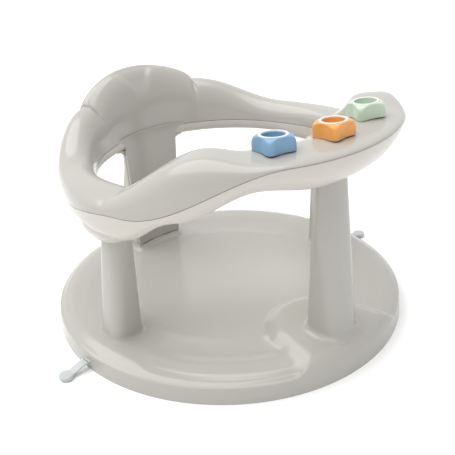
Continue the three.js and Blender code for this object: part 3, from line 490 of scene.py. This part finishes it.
def rear_skin_shell():
    """The skin of the rear leg: a bent sheet from the plinth to the cover's lip, as a closed wall.
    Its top laps over the foot of the cover's inner face, a hair in front of it."""
    bend = np.sin(np.linspace(0, np.pi / 2, 12))
    z = np.concatenate([np.linspace(REAR_LOW, REAR_LIP - REAR_CORNER, 24)[:-1],
                        REAR_LIP - REAR_CORNER + REAR_CORNER * bend])[:, None]
    u = np.linspace(-1, 1, 61)[None, :]
    x = rear_half(z, REAR_LIP) * u
    front = rear_radius(z) - SKIN_LAP * step_up(z, REAR_LIP - 3, REAR_LIP)
    near = np.stack([x, np.sqrt(front ** 2 - x ** 2), z + 0 * u], axis=-1)
    far = np.stack([x, np.sqrt((front + REAR_WALL) ** 2 - x ** 2), z + 0 * u], axis=-1)
    angle = 180 - np.degrees(np.arcsin(x[-1] / REAR_TOP_RADIUS))
    r, up = (values[:, 1:2].T for values in cover_line(angle))
    near = np.concatenate([near, place(r - SKIN_LAP, angle[None, :], up)])
    far = np.concatenate([far, place(r + SKIN_LAP_WALL, angle[None, :], up)])
    return bar(np.concatenate([near, far[:, ::-1]], axis=1))


def rear_channel_shell():
    """The channel behind the skin: a bent rounded box that gets shallower towards its top, along half
    a cosine wave, and turns out into the shell's keel."""
    bend = np.sin(np.linspace(0, np.pi / 2, 10))
    heights = np.concatenate([np.linspace(REAR_LOW, REAR_KEEL - REAR_CORNER, 16)[:-1],
                              REAR_KEEL - REAR_CORNER + REAR_CORNER * bend, [REAR_KEEL + 1.5]])
    loops = []
    for z in heights:
        near = rear_radius(z) + REAR_WALL + GAP
        half = float(rear_half(np.array(min(z, REAR_KEEL)), REAR_KEEL))
        thinned = float(step_up(z, CHANNEL_THIN_LOW, CHANNEL_THIN_HIGH))
        depth = REAR_DEPTH + (CHANNEL_TOP_DEPTH - REAR_DEPTH) * thinned
        loops.append(arc_block(half, near, near + depth, z, CHANNEL_SQUARENESS))
    return bar(np.stack(loops))


# Sockets of the shell

SOCKET_WALL, SOCKET_PLATE, SOCKET_MOUTH, SOCKET_REACH, SOCKET_SQUARENESS = 2.4, 3.0, 1.2, 8, 2.6
SOCKETS = {  # mouth height, flare along the ring, swell outwards
    "front": (158.5, 2.0, 0.0),
    "left": (108.0, 10.5, 5.5),
    "right": (108.0, 10.5, 5.5),
}


def socket_shell(side):
    """A socket over a leg's top: its outside swells like a bowl, along the crown curve, from the
    mouth up to the keel, and its inside follows the leg a gap away."""
    leg = LEGS[side]
    mouth, flare, swell = SOCKETS[side]
    angle, _, top = leg[:3]
    keel = float(along_ring(np.array([angle]), KEEL_HEIGHTS)[0]) + RING_WALL
    high = min(top + GAP + SOCKET_PLATE, keel + SOCKET_REACH)
    stations = []

    def add(z, wall, share):
        pitch, half = leg_size(leg, z)
        inner = half + GAP
        stations.append((z, pitch + swell * share, inner + wall + flare * share,
                         inner * LEG_DEPTH_SHARE + wall + swell * share))

    pitch, half = leg_size(leg, mouth)
    add(top + GAP - 1, 0, 0)
    add(mouth + SOCKET_MOUTH, 0, 0)
    add(mouth, 0.3, 0)
    for a in np.radians(np.linspace(0, 90, 6)):
        add(mouth + SOCKET_MOUTH * (1 - math.cos(a)), SOCKET_MOUTH + SOCKET_MOUTH * math.sin(a), 0)
    for t in np.linspace(0, 1, 12)[1:]:
        add(mouth + SOCKET_MOUTH + (keel - mouth - SOCKET_MOUTH) * t, SOCKET_WALL, float(crown(t)))
    for t in np.linspace(0, 1, 5)[1:]:
        add(keel + (high - keel) * t, SOCKET_WALL, float(1 - t ** 2))
    return bar(leg_bar(angle, stations, squareness=SOCKET_SQUARENESS))


# Toys

TOY_PITCH, TOY_SPACING, TOY_TILT, SEAT_RISE = 122.5, 24.5, 5.0, 0.05
TOYS = {"blue": (-TOY_SPACING, -10.0), "orange": (0.0, 0.0), "green": (TOY_SPACING, -22.0)}
TOY_FOOT_BAND, TOY_FOOT_DROP = 0.9, 0.15
TOY_CORNER, TOY_WAIST, TOY_CROWN, TOY_SHOULDER, TOY_FOOT_ROUND = 16.2, 11.2, 11.0, 3.6, 0.5
STAR_POWER, TIP_ROUND, DOME_POWER, TOY_ARCH_ROUND = 0.86, 0.035, 2.0, 1.5
TOY_HEIGHT, RECESS_RADIUS, RECESS_DEPTH = 11.4, 8.5, 5.2
RING_OUTER, RING_INNER, RING_SUNK, RING_THICKNESS, SPINDLE_RADIUS = 11.0, 8.6, 0.9, 1.3, 2.8
SEAT_RADIUS, SEAT_DEPTH, DOME_MARGIN, RING_CLEARANCE = 9.6, 6.0, 0.2, 0.15
HEAD_RADIUS, HEAD_ROUND, SPINDLE_REACH, SPINDLE_TIP_ROUND = 5.0, 0.9, 2.9, 0.4


def toy_frame(angle):
    """Matrix from a toy's seat to the ring, in millimetres: up the spindle, tilted to the middle."""
    height = cover_top(angle, TOY_PITCH) + SEAT_RISE
    at = Vector(place(TOY_PITCH, angle, height).tolist())
    tilt = math.radians(TOY_TILT)
    axis = Vector(place(-math.sin(tilt), angle, math.cos(tilt)).tolist())
    return Matrix.Translation(at) @ Vector((0, 0, 1)).rotation_difference(axis).to_matrix().to_4x4()


def placed(shell, matrix):
    """A shell's points carried by a matrix."""
    points, faces = shell
    m = np.array(matrix)
    return points @ m[:3, :3].T + m[:3, 3], faces


def toy_outline(turn):
    """Radius of a toy's plan: a star with hollow sides. It is the inverse of a sum of powers, below
    one, of cosine and sine, with both kept off zero so that the four tips are round."""
    def reach(a):
        c, s = np.sqrt(np.cos(a) ** 2 + TIP_ROUND), np.sqrt(np.sin(a) ** 2 + TIP_ROUND)
        return (c ** STAR_POWER + s ** STAR_POWER) ** (-1 / STAR_POWER)

    low, high = reach(np.pi / 4), reach(0.0)
    return TOY_WAIST + (TOY_CORNER - TOY_WAIST) * (reach(turn - np.pi / 4) - low) / (high - low)


def foot_round(z):
    """How far a quarter circle draws a toy's foot in at a height."""
    return TOY_FOOT_ROUND * (1 - np.sqrt(1 - np.clip(1 - z / TOY_FOOT_ROUND, 0, 1) ** 2))


def toy_dome(z):
    """Radius of a toy's dome: upright, then a quarter of a rounded rectangle in to the ring."""
    t = np.clip((z - TOY_SHOULDER) / (TOY_HEIGHT - TOY_SHOULDER), 0, 1)
    reach = TOY_CORNER + DOME_MARGIN - TOY_CROWN
    return TOY_CROWN + reach * (1 - t ** DOME_POWER) ** (1 / DOME_POWER) - foot_round(z)


def toy_shell():
    """A toy: at each height the smaller of its dome and its star, softly blended, then the ring's
    seat, the recess and the bore."""
    s = np.linspace(0, 1, 30)
    z = np.concatenate([TOY_FOOT_ROUND * smooth(s[:8] / s[7]), TOY_FOOT_ROUND + (TOY_HEIGHT - TOY_FOOT_ROUND)
                        * np.sin(np.pi / 2 * s[1:]) ** 1.15])[:, None]
    turn = np.linspace(0, 2 * np.pi, 192, endpoint=False)[None, :]
    dome = toy_dome(z) + 0 * turn
    star = toy_outline(turn) - foot_round(z)
    r = -soft_max(-dome, -star, TOY_ARCH_ROUND)
    seat = TOY_HEIGHT - RING_SUNK
    under = np.minimum(r[:1] - TOY_FOOT_BAND, SEAT_RADIUS + 1.0)
    r = np.concatenate([under, under, r])
    z = np.concatenate([[[0.0]], [[-TOY_FOOT_DROP]], z - TOY_FOOT_DROP * (1 - step_up(z, 0.0, 2.0))])
    groove = RING_OUTER + RING_CLEARANCE
    inside = np.array([(groove, TOY_HEIGHT - 0.05), (groove, seat), (RECESS_RADIUS, seat),
                       (RECESS_RADIUS, TOY_HEIGHT - RECESS_DEPTH + 1.2),
                       (RECESS_RADIUS - 0.35, TOY_HEIGHT - RECESS_DEPTH + 0.35),
                       (RECESS_RADIUS - 1.2, TOY_HEIGHT - RECESS_DEPTH),
                       (SPINDLE_RADIUS + GAP, TOY_HEIGHT - RECESS_DEPTH), (SPINDLE_RADIUS + GAP, 0.0)])
    radius = np.concatenate([r, inside[:, :1] + 0 * turn])
    height = np.concatenate([z + 0 * turn, inside[:, 1:] + 0 * turn])
    return closed_grid(np.stack([radius * np.cos(turn), radius * np.sin(turn), height], axis=-1), True)


def toy_ring_shell():
    """The rim ring: a thin flat band with rounded top corners."""
    low = TOY_HEIGHT - RING_SUNK + 0.1
    high = low + RING_THICKNESS
    profile = rounded([(RING_INNER, low), (RING_OUTER, low), (RING_OUTER, high), (RING_INNER, high)],
                      [0.1, 0.1, 0.5, 0.5], 6)
    return turned(profile, 128, closed=True)


def toy_spindle_shell():
    """The spindle: a pin with a low domed head in the toy's recess."""
    floor = TOY_HEIGHT - RECESS_DEPTH + GAP
    tip = -SEAT_DEPTH - SPINDLE_REACH
    dome = [(HEAD_RADIUS * math.cos(a), floor + HEAD_ROUND + HEAD_ROUND * math.sin(a))
            for a in np.radians(np.linspace(0, 90, 9))]
    pin = [(0, tip), (SPINDLE_RADIUS - SPINDLE_TIP_ROUND, tip), (SPINDLE_RADIUS, tip + SPINDLE_TIP_ROUND),
           (SPINDLE_RADIUS, floor), (HEAD_RADIUS, floor)]
    return turned(pin + dome, 64)


# Cups and tabs

CUP_PITCH, CUP_RADIUS = 96.0, 24.3
CUP_PROFILE = [(0, 5.6), (10.2, 4.9), (20.2, 1.3), (22.0, 0), (24.3, 0), (24.3, 1.1), (22.0, 2.9),
               (11.2, 8.1), (6.5, 9.2), (4.1, 9.2), (4.1, 14.4), (0, 14.4)]
CUP_ROUNDS = [0, 3, 1.2, 0.4, 0.5, 0.6, 2.5, 2.5, 0.6, 0.2, 0.8, 0]
TAB_WIDTH, TAB_THICKNESS, TAB_HEIGHT, TAB_HINGE = 8.0, 2.2, 7.0, 161.1
TAB_KNUCKLE, TAB_REACH, TAB_PAD_RADIUS, TAB_PAD_THICKNESS, TAB_PAD_HEIGHT = 1.4, 179.0, 6.0, 3.4, 2.6


def turn_about_middle(shell, angle):
    """A shell made at the front, turned round to an angle."""
    return placed(shell, Matrix.Rotation(math.radians(angle), 4, "Z"))


def cup_shell():
    """A suction cup: a bell of revolution with a flat edge and a stem."""
    profile = rounded(CUP_PROFILE, CUP_ROUNDS, 5, closed=False)
    points, faces = turned(profile, 96)
    return points + np.array([0, -CUP_PITCH, 0]), faces


def strip_shell(line, half_width, half_thickness):
    """A flat strip along (distance out, height) points, with rounded edges across."""
    line = np.asarray(line, float)
    x, z = superellipse(half_width, half_thickness, 3.2, 32)
    step = np.gradient(line, axis=0)
    step /= np.linalg.norm(step, axis=1)[:, None]
    out = line[:, 0][:, None] - step[:, 1][:, None] * z
    up = line[:, 1][:, None] + step[:, 0][:, None] * z
    return bar(np.stack([x + 0 * out, -out, up], axis=-1))


def eased_line(points, steps):
    """A smooth run through (distance, height) points: heights eased by half a cosine wave."""
    points = np.asarray(points, float)
    out = np.linspace(points[0, 0], points[-1, 0], steps)
    z = np.full(steps, points[0, 1])
    for (x0, z0), (x1, z1) in zip(points, points[1:]):
        t = np.clip((out - x0) / (x1 - x0), 0, 1)
        z = np.where(out >= x0, z0 + (z1 - z0) * smooth(t), z)
    return np.stack([out, z], axis=-1)


def cup_strip_shell():
    """The strip moulded on a side cup, out through the skirt to the tab's knuckle."""
    start = CUP_PITCH + CUP_RADIUS - 2.3
    end = TAB_HINGE - TAB_KNUCKLE - GAP
    line = eased_line([(start, 1.2), (start + 10, TAB_HEIGHT), (end, TAB_HEIGHT)], 24)
    return strip_shell(line, TAB_WIDTH / 2, TAB_THICKNESS / 2)


def tab_shells():
    """A release tab: a round knuckle, a strip that droops, and a round finger pad."""
    a = np.linspace(0, 2 * np.pi, 24, endpoint=False)[None, :]
    x = np.array([-4.0, -3.9, 3.9, 4.0])[:, None]
    r = np.array([TAB_KNUCKLE - 0.2, TAB_KNUCKLE, TAB_KNUCKLE, TAB_KNUCKLE - 0.2])[:, None]
    across, up = -TAB_HINGE + r * np.cos(a), TAB_HEIGHT + r * np.sin(a)
    knuckle = bar(np.stack(np.broadcast_arrays(x, across, up), axis=-1))
    line = eased_line([(TAB_HINGE, TAB_HEIGHT), (TAB_REACH - 2, TAB_PAD_HEIGHT + 0.3)], 18)
    strip = strip_shell(line, TAB_WIDTH / 2, TAB_THICKNESS / 2)
    low = TAB_PAD_HEIGHT - TAB_PAD_THICKNESS / 2
    high = low + TAB_PAD_THICKNESS
    pad, faces = turned(rounded([(0, low), (TAB_PAD_RADIUS, low), (TAB_PAD_RADIUS, high), (0, high)],
                                [0, 1.1, 1.1, 0], 6, closed=False), 64)
    return [knuckle, strip, (pad + np.array([0, -TAB_REACH, 0]), faces)]


# Materials

def group_sockets(group, inputs, outputs):
    """Adds named sockets to a node group."""
    for name, kind, value in inputs:
        socket = group.interface.new_socket(name, in_out="INPUT", socket_type=kind)
        if value is not None:
            socket.default_value = value
    for name, kind in outputs:
        group.interface.new_socket(name, in_out="OUTPUT", socket_type=kind)


def noise(tree, position, detail):
    """A noise texture over a position."""
    texture = tree.nodes.new("ShaderNodeTexNoise")
    texture.inputs["Detail"].default_value = detail
    tree.links.new(position, texture.inputs["Vector"])
    return texture


def moulded_surface_group():
    """Slow changes of tone and gloss, and the faint ripple of a polished mould, over a surface."""
    group = bpy.data.node_groups.get("moulded_surface")
    if group:
        return group
    group = bpy.data.node_groups.new("moulded_surface", "ShaderNodeTree")
    group_sockets(group, [
        ("Position", "NodeSocketVector", None),
        ("Colour", "NodeSocketColor", (0.6, 0.6, 0.6, 1)),
        ("Shade Colour", "NodeSocketColor", (0.5, 0.5, 0.5, 1)),
        ("Tone Scale", "NodeSocketFloat", 14.0),
        ("Grain Scale", "NodeSocketFloat", 420.0),
        ("Gloss", "NodeSocketFloat", 0.28),
        ("Gloss Change", "NodeSocketFloat", 0.06),
    ], [("Colour", "NodeSocketColor"), ("Roughness", "NodeSocketFloat"), ("Height", "NodeSocketFloat")])
    nodes, links = group.nodes, group.links
    inside, outside = nodes.new("NodeGroupInput"), nodes.new("NodeGroupOutput")
    position = inside.outputs["Position"]
    tone, grain, wear = (noise(group, position, detail) for detail in (3, 2, 4))
    links.new(inside.outputs["Tone Scale"], tone.inputs["Scale"])
    mix = nodes.new("ShaderNodeMix")
    mix.data_type = "RGBA"
    links.new(tone.outputs["Fac"], mix.inputs["Factor"])
    links.new(inside.outputs["Colour"], mix.inputs["A"])
    links.new(inside.outputs["Shade Colour"], mix.inputs["B"])
    links.new(mix.outputs["Result"], outside.inputs["Colour"])
    links.new(inside.outputs["Grain Scale"], grain.inputs["Scale"])
    wear.inputs["Scale"].default_value = 60
    centred = nodes.new("ShaderNodeMath")
    centred.operation = "SUBTRACT"
    centred.inputs[1].default_value = 0.5
    links.new(wear.outputs["Fac"], centred.inputs[0])
    rough = nodes.new("ShaderNodeMath")
    rough.operation = "MULTIPLY_ADD"
    links.new(centred.outputs["Value"], rough.inputs[0])
    links.new(inside.outputs["Gloss Change"], rough.inputs[1])
    links.new(inside.outputs["Gloss"], rough.inputs[2])
    links.new(rough.outputs["Value"], outside.inputs["Roughness"])
    links.new(grain.outputs["Fac"], outside.inputs["Height"])
    return group


def surface_material(name, colour, shade, gloss, ripple, grain_scale=420.0, tone_scale=14.0, **constants):
    """A Principled material fed by the moulded surface group, with the rest set on its sockets."""
    material = bpy.data.materials.new(name)
    material.use_nodes = True
    nodes, links = material.node_tree.nodes, material.node_tree.links
    shader = nodes["Principled BSDF"]
    for socket, value in constants.items():
        shader.inputs[socket.replace("_", " ")].default_value = value
    place_node = nodes.new("ShaderNodeTexCoord")
    surface = nodes.new("ShaderNodeGroup")
    surface.node_tree = moulded_surface_group()
    surface.inputs["Colour"].default_value = (*colour, 1)
    surface.inputs["Shade Colour"].default_value = (*shade, 1)
    surface.inputs["Tone Scale"].default_value = tone_scale
    surface.inputs["Grain Scale"].default_value = grain_scale
    surface.inputs["Gloss"].default_value = gloss
    links.new(place_node.outputs["Object"], surface.inputs["Position"])
    links.new(surface.outputs["Colour"], shader.inputs["Base Color"])
    links.new(surface.outputs["Roughness"], shader.inputs["Roughness"])
    bump = nodes.new("ShaderNodeBump")
    bump.inputs["Strength"].default_value = ripple
    bump.inputs["Distance"].default_value = 0.0002
    links.new(surface.outputs["Height"], bump.inputs["Height"])
    links.new(bump.outputs["Normal"], shader.inputs["Normal"])
    return material


def shaded(colour, share):
    """A colour darkened to a share of itself."""
    return tuple(c * share for c in colour)


# Each finish: its colour in the panel, the darker tone's share, and its surface
FINISHES = {
    "grey_plastic": ("grey", 0.965, dict(gloss=0.17, ripple=0.03)),
    "ivory_plastic": ("ivory", 0.97, dict(gloss=0.26, ripple=0.03)),
    "white_plastic": ("white", 0.97, dict(gloss=0.25, ripple=0.04)),
    "silicone": ("silicone", 0.95, dict(gloss=0.38, ripple=0.1, grain_scale=700.0, Transmission_Weight=0.2,
                                        IOR=1.41)),
}
TOY_SHADE, TOY_SURFACE = 0.93, dict(gloss=0.3, ripple=0.05, Coat_Weight=0.2, Coat_Roughness=0.15)
STEEL, STEEL_SHADE = (0.52, 0.53, 0.55), (0.42, 0.43, 0.45)


def finish(name):
    """The material of a finish, made once from the colours in the panel."""
    label = "bath_ring_" + name
    found = bpy.data.materials.get(label)
    if found:
        return found
    if name == "steel":
        return surface_material(label, STEEL, STEEL_SHADE, 0.34, 0.2, grain_scale=1500.0, Metallic=1.0)
    setting, share, surface = FINISHES.get(name, (name, TOY_SHADE, TOY_SURFACE))
    colour = tuple(getattr(bpy.context.scene.bath_ring_colours, setting))
    return surface_material(label, colour, shaded(colour, share), **surface)


def dress(node, name):
    """Gives a CAD node that stays its material."""
    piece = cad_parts[node]
    if not piece.data.materials:
        piece.data.materials.append(None)
    for slot in piece.material_slots:
        slot.link = "DATA"
        slot.material = finish(name)


def srgb(*levels):
    """Linear colour from 0-255 screen levels."""
    c = np.array(levels) / 255
    return tuple(np.where(c <= 0.04045, c / 12.92, ((c + 0.055) / 1.055) ** 2.4).tolist())


# Settings shown in the panel

def colour_property(name, description, *levels):
    """A colour setting."""
    return FloatVectorProperty(name=name, description=description, subtype="COLOR", size=3, min=0, max=1,
                               default=srgb(*levels))


def length_property(name, description, millimetres):
    """A length setting, kept in metres."""
    return FloatProperty(name=name, description=description, default=millimetres * MM, min=0, unit="LENGTH",
                         subtype="DISTANCE", precision=4)


class BathRingColours(bpy.types.PropertyGroup):
    """Colours of the finishes."""
    grey: colour_property("Grey", "Plastic of the base and the ring's cover", 177, 175, 168)
    ivory: colour_property("Ivory", "Plastic of the ring's shell", 199, 195, 187)
    white: colour_property("White", "Rings, spindles and clips of the toys", 216, 216, 214)
    silicone: colour_property("Silicone", "Suction cups and release tabs", 203, 208, 208)
    blue: colour_property("Blue", "Left toy", 120, 162, 196)
    orange: colour_property("Orange", "Middle toy", 236, 162, 76)
    green: colour_property("Green", "Right toy", 194, 214, 191)
    floor: colour_property("Floor", "Floor and backdrop", 254, 254, 254)


class BathRingSizes(bpy.types.PropertyGroup):
    """Sizes of the looks that a user may change."""
    seam_edge: length_property("Seam edge", "Round along the ring's seams and lips", 0.45)
    rim_edge: length_property("Rim edge", "Round along the base's lower edge", 0.5)
    floor_reach: length_property("Floor reach", "Half the floor's width", 4000)


class BathRingLight(bpy.types.PropertyGroup):
    """Light of the stage."""
    world: FloatProperty(name="Surround", description="Strength of the white surround", default=0.56, min=0)
    key: FloatProperty(name="Key", description="Strength of the main lamp", default=3.0, min=0)


# Operators

class BATHRING_OT_base(bpy.types.Operator):
    """The round base with its pads, legs and plinth"""
    bl_idname = "bathring.base"
    bl_label = "Base with legs"

    def execute(self, context):
        """Builds the base."""
        shells = [base_shell(), plinth_shell()] + [leg_shell(leg) for leg in LEGS.values()]
        piece = make_piece("base_with_legs", shells, "frame", "grey_plastic")
        soften(piece, context.scene.bath_ring_sizes.rim_edge / MM)
        return {"FINISHED"}


class BATHRING_OT_ring_cover(bpy.types.Operator):
    """The grey cover of the seat ring, with the skin of the rear leg"""
    bl_idname = "bathring.ring_cover"
    bl_label = "Ring cover"

    def execute(self, context):
        """Builds the cover."""
        edge = context.scene.bath_ring_sizes.seam_edge / MM

        def lip_edge(angle):
            """No round where the rear leg's skin goes on down from the lip."""
            half = np.degrees(rear_half(REAR_LIP, REAR_LIP) / REAR_TOP_RADIUS)
            return 0.02 + (edge - 0.02) * step_up(180 - np.abs(angle), half, half + 1.5)

        shells = [swept_wall(cover_line, RING_WALL, edge, 0, lip_edge), rear_skin_shell()]
        for angle, _ in TOYS.values():
            seat = rounded([(0, -SEAT_DEPTH), (SEAT_RADIUS, -SEAT_DEPTH), (SEAT_RADIUS, 0), (0, 0)],
                           [0, 0.2, 0.5, 0], 4, closed=False)
            shells.append(placed(turned(seat, 64), toy_frame(angle)))
        make_piece("ring_cover", shells, "frame", "grey_plastic")
        return {"FINISHED"}


class BATHRING_OT_ring_shell(bpy.types.Operator):
    """The ivory shell of the seat ring, with its sockets and the rear leg's channel"""
    bl_idname = "bathring.ring_shell"
    bl_label = "Ring shell"

    def execute(self, context):
        """Builds the shell."""
        edge = context.scene.bath_ring_sizes.seam_edge / MM
        shells = [swept_wall(shell_line, RING_WALL, edge, -1, lambda angle: edge + 0 * angle),
                  rear_channel_shell()]
        shells += [socket_shell(side) for side in SOCKETS]
        make_piece("ring_shell", shells, "frame", "ivory_plastic")
        return {"FINISHED"}


class BATHRING_OT_toys(bpy.types.Operator):
    """The three spinning toys with their rings and spindles"""
    bl_idname = "bathring.toys"
    bl_label = "Tray toys"

    def execute(self, context):
        """Builds the toys."""
        for colour, (angle, turn) in TOYS.items():
            seat = toy_frame(angle)
            at = seat @ Matrix.Translation((0, 0, GAP)) @ Matrix.Rotation(math.radians(turn), 4, "Z")
            body = f"toy_{colour}_spinner"
            toy = make_piece(f"toy_{colour}", [placed(toy_shell(), at)], body, f"toy_{colour}", colour, sharp=40)
            soften(toy, 0.25, 40)
            make_piece(f"toy_{colour}_ring", [placed(toy_ring_shell(), at)], body, "white_plastic")
            make_piece(f"toy_{colour}_spindle", [placed(toy_spindle_shell(), at)], body, f"toy_{colour}", colour)
            dress(f"toy_{colour}_clip", "white_plastic")
        return {"FINISHED"}


class BATHRING_OT_cups(bpy.types.Operator):
    """The four suction cups and the two release tabs"""
    bl_idname = "bathring.cups"
    bl_label = "Suction cups and tabs"

    def execute(self, context):
        """Builds the cups and tabs."""
        for side, angle in {"front": 0.0, "left": LEFT, "right": RIGHT, "rear": BACK}.items():
            shells = [turn_about_middle(cup_shell(), angle)]
            if side in ("left", "right"):
                shells.append(turn_about_middle(cup_strip_shell(), angle))
                tab = [turn_about_middle(shell, angle) for shell in tab_shells()]
                make_piece(f"release_tab_{side}", tab, f"release_tab_{side}", "silicone")
            make_piece(f"suction_cup_{side}", shells, "frame", "silicone")
        return {"FINISHED"}


class BATHRING_OT_screws(bpy.types.Operator):
    """Steel finish for the screws, whose CAD shape stays"""
    bl_idname = "bathring.screws"
    bl_label = "Screws"

    def execute(self, context):
        """Dresses the screws."""
        screws = [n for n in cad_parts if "_screw_" in n]
        if not screws:
            self.report({"ERROR"}, "the frame has no screws")
            raise RuntimeError("the frame has no screws")
        for node in screws:
            dress(node, "steel")
        return {"FINISHED"}


# The photograph's camera: in its own frame it stands off the middle of the base, and the object is
# turned by a further angle
CAMERA_OUT, CAMERA_UP, CAMERA_FOCUS = 594.664, 372.802, 731.569865
CAMERA_YAW, CAMERA_PITCH, CAMERA_ROLL, CAMERA_ROUND = 0.00111434, 0.46886326, -0.04093518, 41.124031
IMAGE_WIDTH, SENSOR_WIDTH = 455, 36.0
KEY_TOWARD, KEY_SPREAD = (-0.22, 0.24, 1.0), 75.0


def camera_matrix():
    """The camera's place and axes: yaw, pitch and roll in its own frame, then the turn of the object."""
    cy, sy = math.cos(CAMERA_YAW), math.sin(CAMERA_YAW)
    cp, sp = math.cos(CAMERA_PITCH), math.sin(CAMERA_PITCH)
    cr, sr = math.cos(CAMERA_ROLL), math.sin(CAMERA_ROLL)
    ahead = Vector((sy * cp, cy * cp, -sp))
    right = Vector((cy, -sy, 0))
    up = right.cross(ahead)
    axes = Matrix((cr * right + sr * up, -sr * right + cr * up, -ahead)).transposed().to_4x4()
    axes.translation = Vector((0, -CAMERA_OUT * MM, CAMERA_UP * MM))
    return Matrix.Rotation(math.radians(-CAMERA_ROUND), 4, "Z") @ axes


def soft_lamp(name, toward, strength, spread):
    """A wide, even lamp that shines from a direction, with soft shadows."""
    data = bpy.data.lights.new(name, "SUN")
    data.energy = strength
    data.angle = math.radians(spread)
    lamp = bpy.data.objects.new(name, data)
    lamp.location = Vector(toward).normalized() * 2
    lamp.rotation_euler = Vector(toward).to_track_quat("Z", "Y").to_euler()
    bpy.context.scene.collection.objects.link(lamp)
    return lamp


def backdrop_world(strength):
    """Even white surround: plain white where the camera, glossy and transmission rays see it."""
    world = bpy.data.worlds.new("bath_ring_surround")
    world.use_nodes = True
    nodes, links = world.node_tree.nodes, world.node_tree.links
    sky, seen = nodes["Background"], nodes.new("ShaderNodeBackground")
    for background, level in ((sky, strength), (seen, 1.0)):
        background.inputs["Color"].default_value = (1, 1, 1, 1)
        background.inputs["Strength"].default_value = level
    rays = nodes.new("ShaderNodeLightPath")
    seen_by = rays.outputs["Is Camera Ray"]
    for kind in ("Is Glossy Ray", "Is Transmission Ray"):
        either = nodes.new("ShaderNodeMath")
        either.operation = "MAXIMUM"
        links.new(seen_by, either.inputs[0])
        links.new(rays.outputs[kind], either.inputs[1])
        seen_by = either.outputs["Value"]
    mix = nodes.new("ShaderNodeMixShader")
    links.new(seen_by, mix.inputs["Fac"])
    links.new(sky.outputs["Background"], mix.inputs[1])
    links.new(seen.outputs["Background"], mix.inputs[2])
    links.new(mix.outputs["Shader"], nodes["World Output"].inputs["Surface"])
    bpy.context.scene.world = world


class BATHRING_OT_stage(bpy.types.Operator):
    """Floor, surround, lamps and camera"""
    bl_idname = "bathring.stage"
    bl_label = "Stage"

    def execute(self, context):
        """Builds the stage."""
        scene = context.scene
        light = scene.bath_ring_light
        reach = scene.bath_ring_sizes.floor_reach / MM
        corners = np.array([[-reach, -reach, 0], [reach, -reach, 0], [reach, reach, 0], [-reach, reach, 0]])
        mesh = bpy.data.meshes.new("studio_floor")
        mesh.from_pydata((corners * MM).tolist(), [], [(0, 1, 2, 3)])
        floor = bpy.data.objects.new("studio_floor", mesh)
        scene.collection.objects.link(floor)
        colour = tuple(scene.bath_ring_colours.floor)
        mesh.materials.append(surface_material("studio_floor_paper", colour, shaded(colour, 0.99), 0.6, 0.0))
        backdrop_world(light.world)
        soft_lamp("key_lamp", KEY_TOWARD, light.key, KEY_SPREAD)
        data = bpy.data.cameras.new("photo_camera")
        data.sensor_width = SENSOR_WIDTH
        data.lens = CAMERA_FOCUS * SENSOR_WIDTH / IMAGE_WIDTH
        data.clip_start = 0.01
        camera = bpy.data.objects.new("photo_camera", data)
        camera.matrix_world = camera_matrix()
        scene.collection.objects.link(camera)
        scene.camera = camera
        scene.view_settings.view_transform = "Standard"
        return {"FINISHED"}


class BATHRING_PT_panel(bpy.types.Panel):
    """The bath ring's settings and pieces"""
    bl_label = "Bath ring"
    bl_idname = "BATHRING_PT_panel"
    bl_space_type = "VIEW_3D"
    bl_region_type = "UI"
    bl_category = "Bath ring"

    def draw(self, context):
        """Lists the settings and the operators."""
        scene = context.scene
        for group in (scene.bath_ring_sizes, scene.bath_ring_colours, scene.bath_ring_light):
            box = self.layout.box()
            for name in group.__annotations__:
                box.prop(group, name)
        for operator in OPERATORS:
            self.layout.operator(operator.bl_idname)


OPERATORS = (BATHRING_OT_base, BATHRING_OT_ring_cover, BATHRING_OT_ring_shell, BATHRING_OT_toys,
             BATHRING_OT_cups, BATHRING_OT_screws, BATHRING_OT_stage)
CLASSES = (BathRingColours, BathRingSizes, BathRingLight, *OPERATORS, BATHRING_PT_panel)


def register():
    """Registers the classes and the settings."""
    for each in CLASSES:
        bpy.utils.register_class(each)
    bpy.types.Scene.bath_ring_colours = PointerProperty(type=BathRingColours)
    bpy.types.Scene.bath_ring_sizes = PointerProperty(type=BathRingSizes)
    bpy.types.Scene.bath_ring_light = PointerProperty(type=BathRingLight)


def unregister():
    """Takes the settings and the classes away again."""
    del bpy.types.Scene.bath_ring_light
    del bpy.types.Scene.bath_ring_sizes
    del bpy.types.Scene.bath_ring_colours
    for each in reversed(CLASSES):
        bpy.utils.unregister_class(each)


def main():
    """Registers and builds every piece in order."""
    register()
    for operator in OPERATORS:
        family, name = operator.bl_idname.split(".")
        getattr(getattr(bpy.ops, family), name)()


if __name__ == "__main__":
    main()
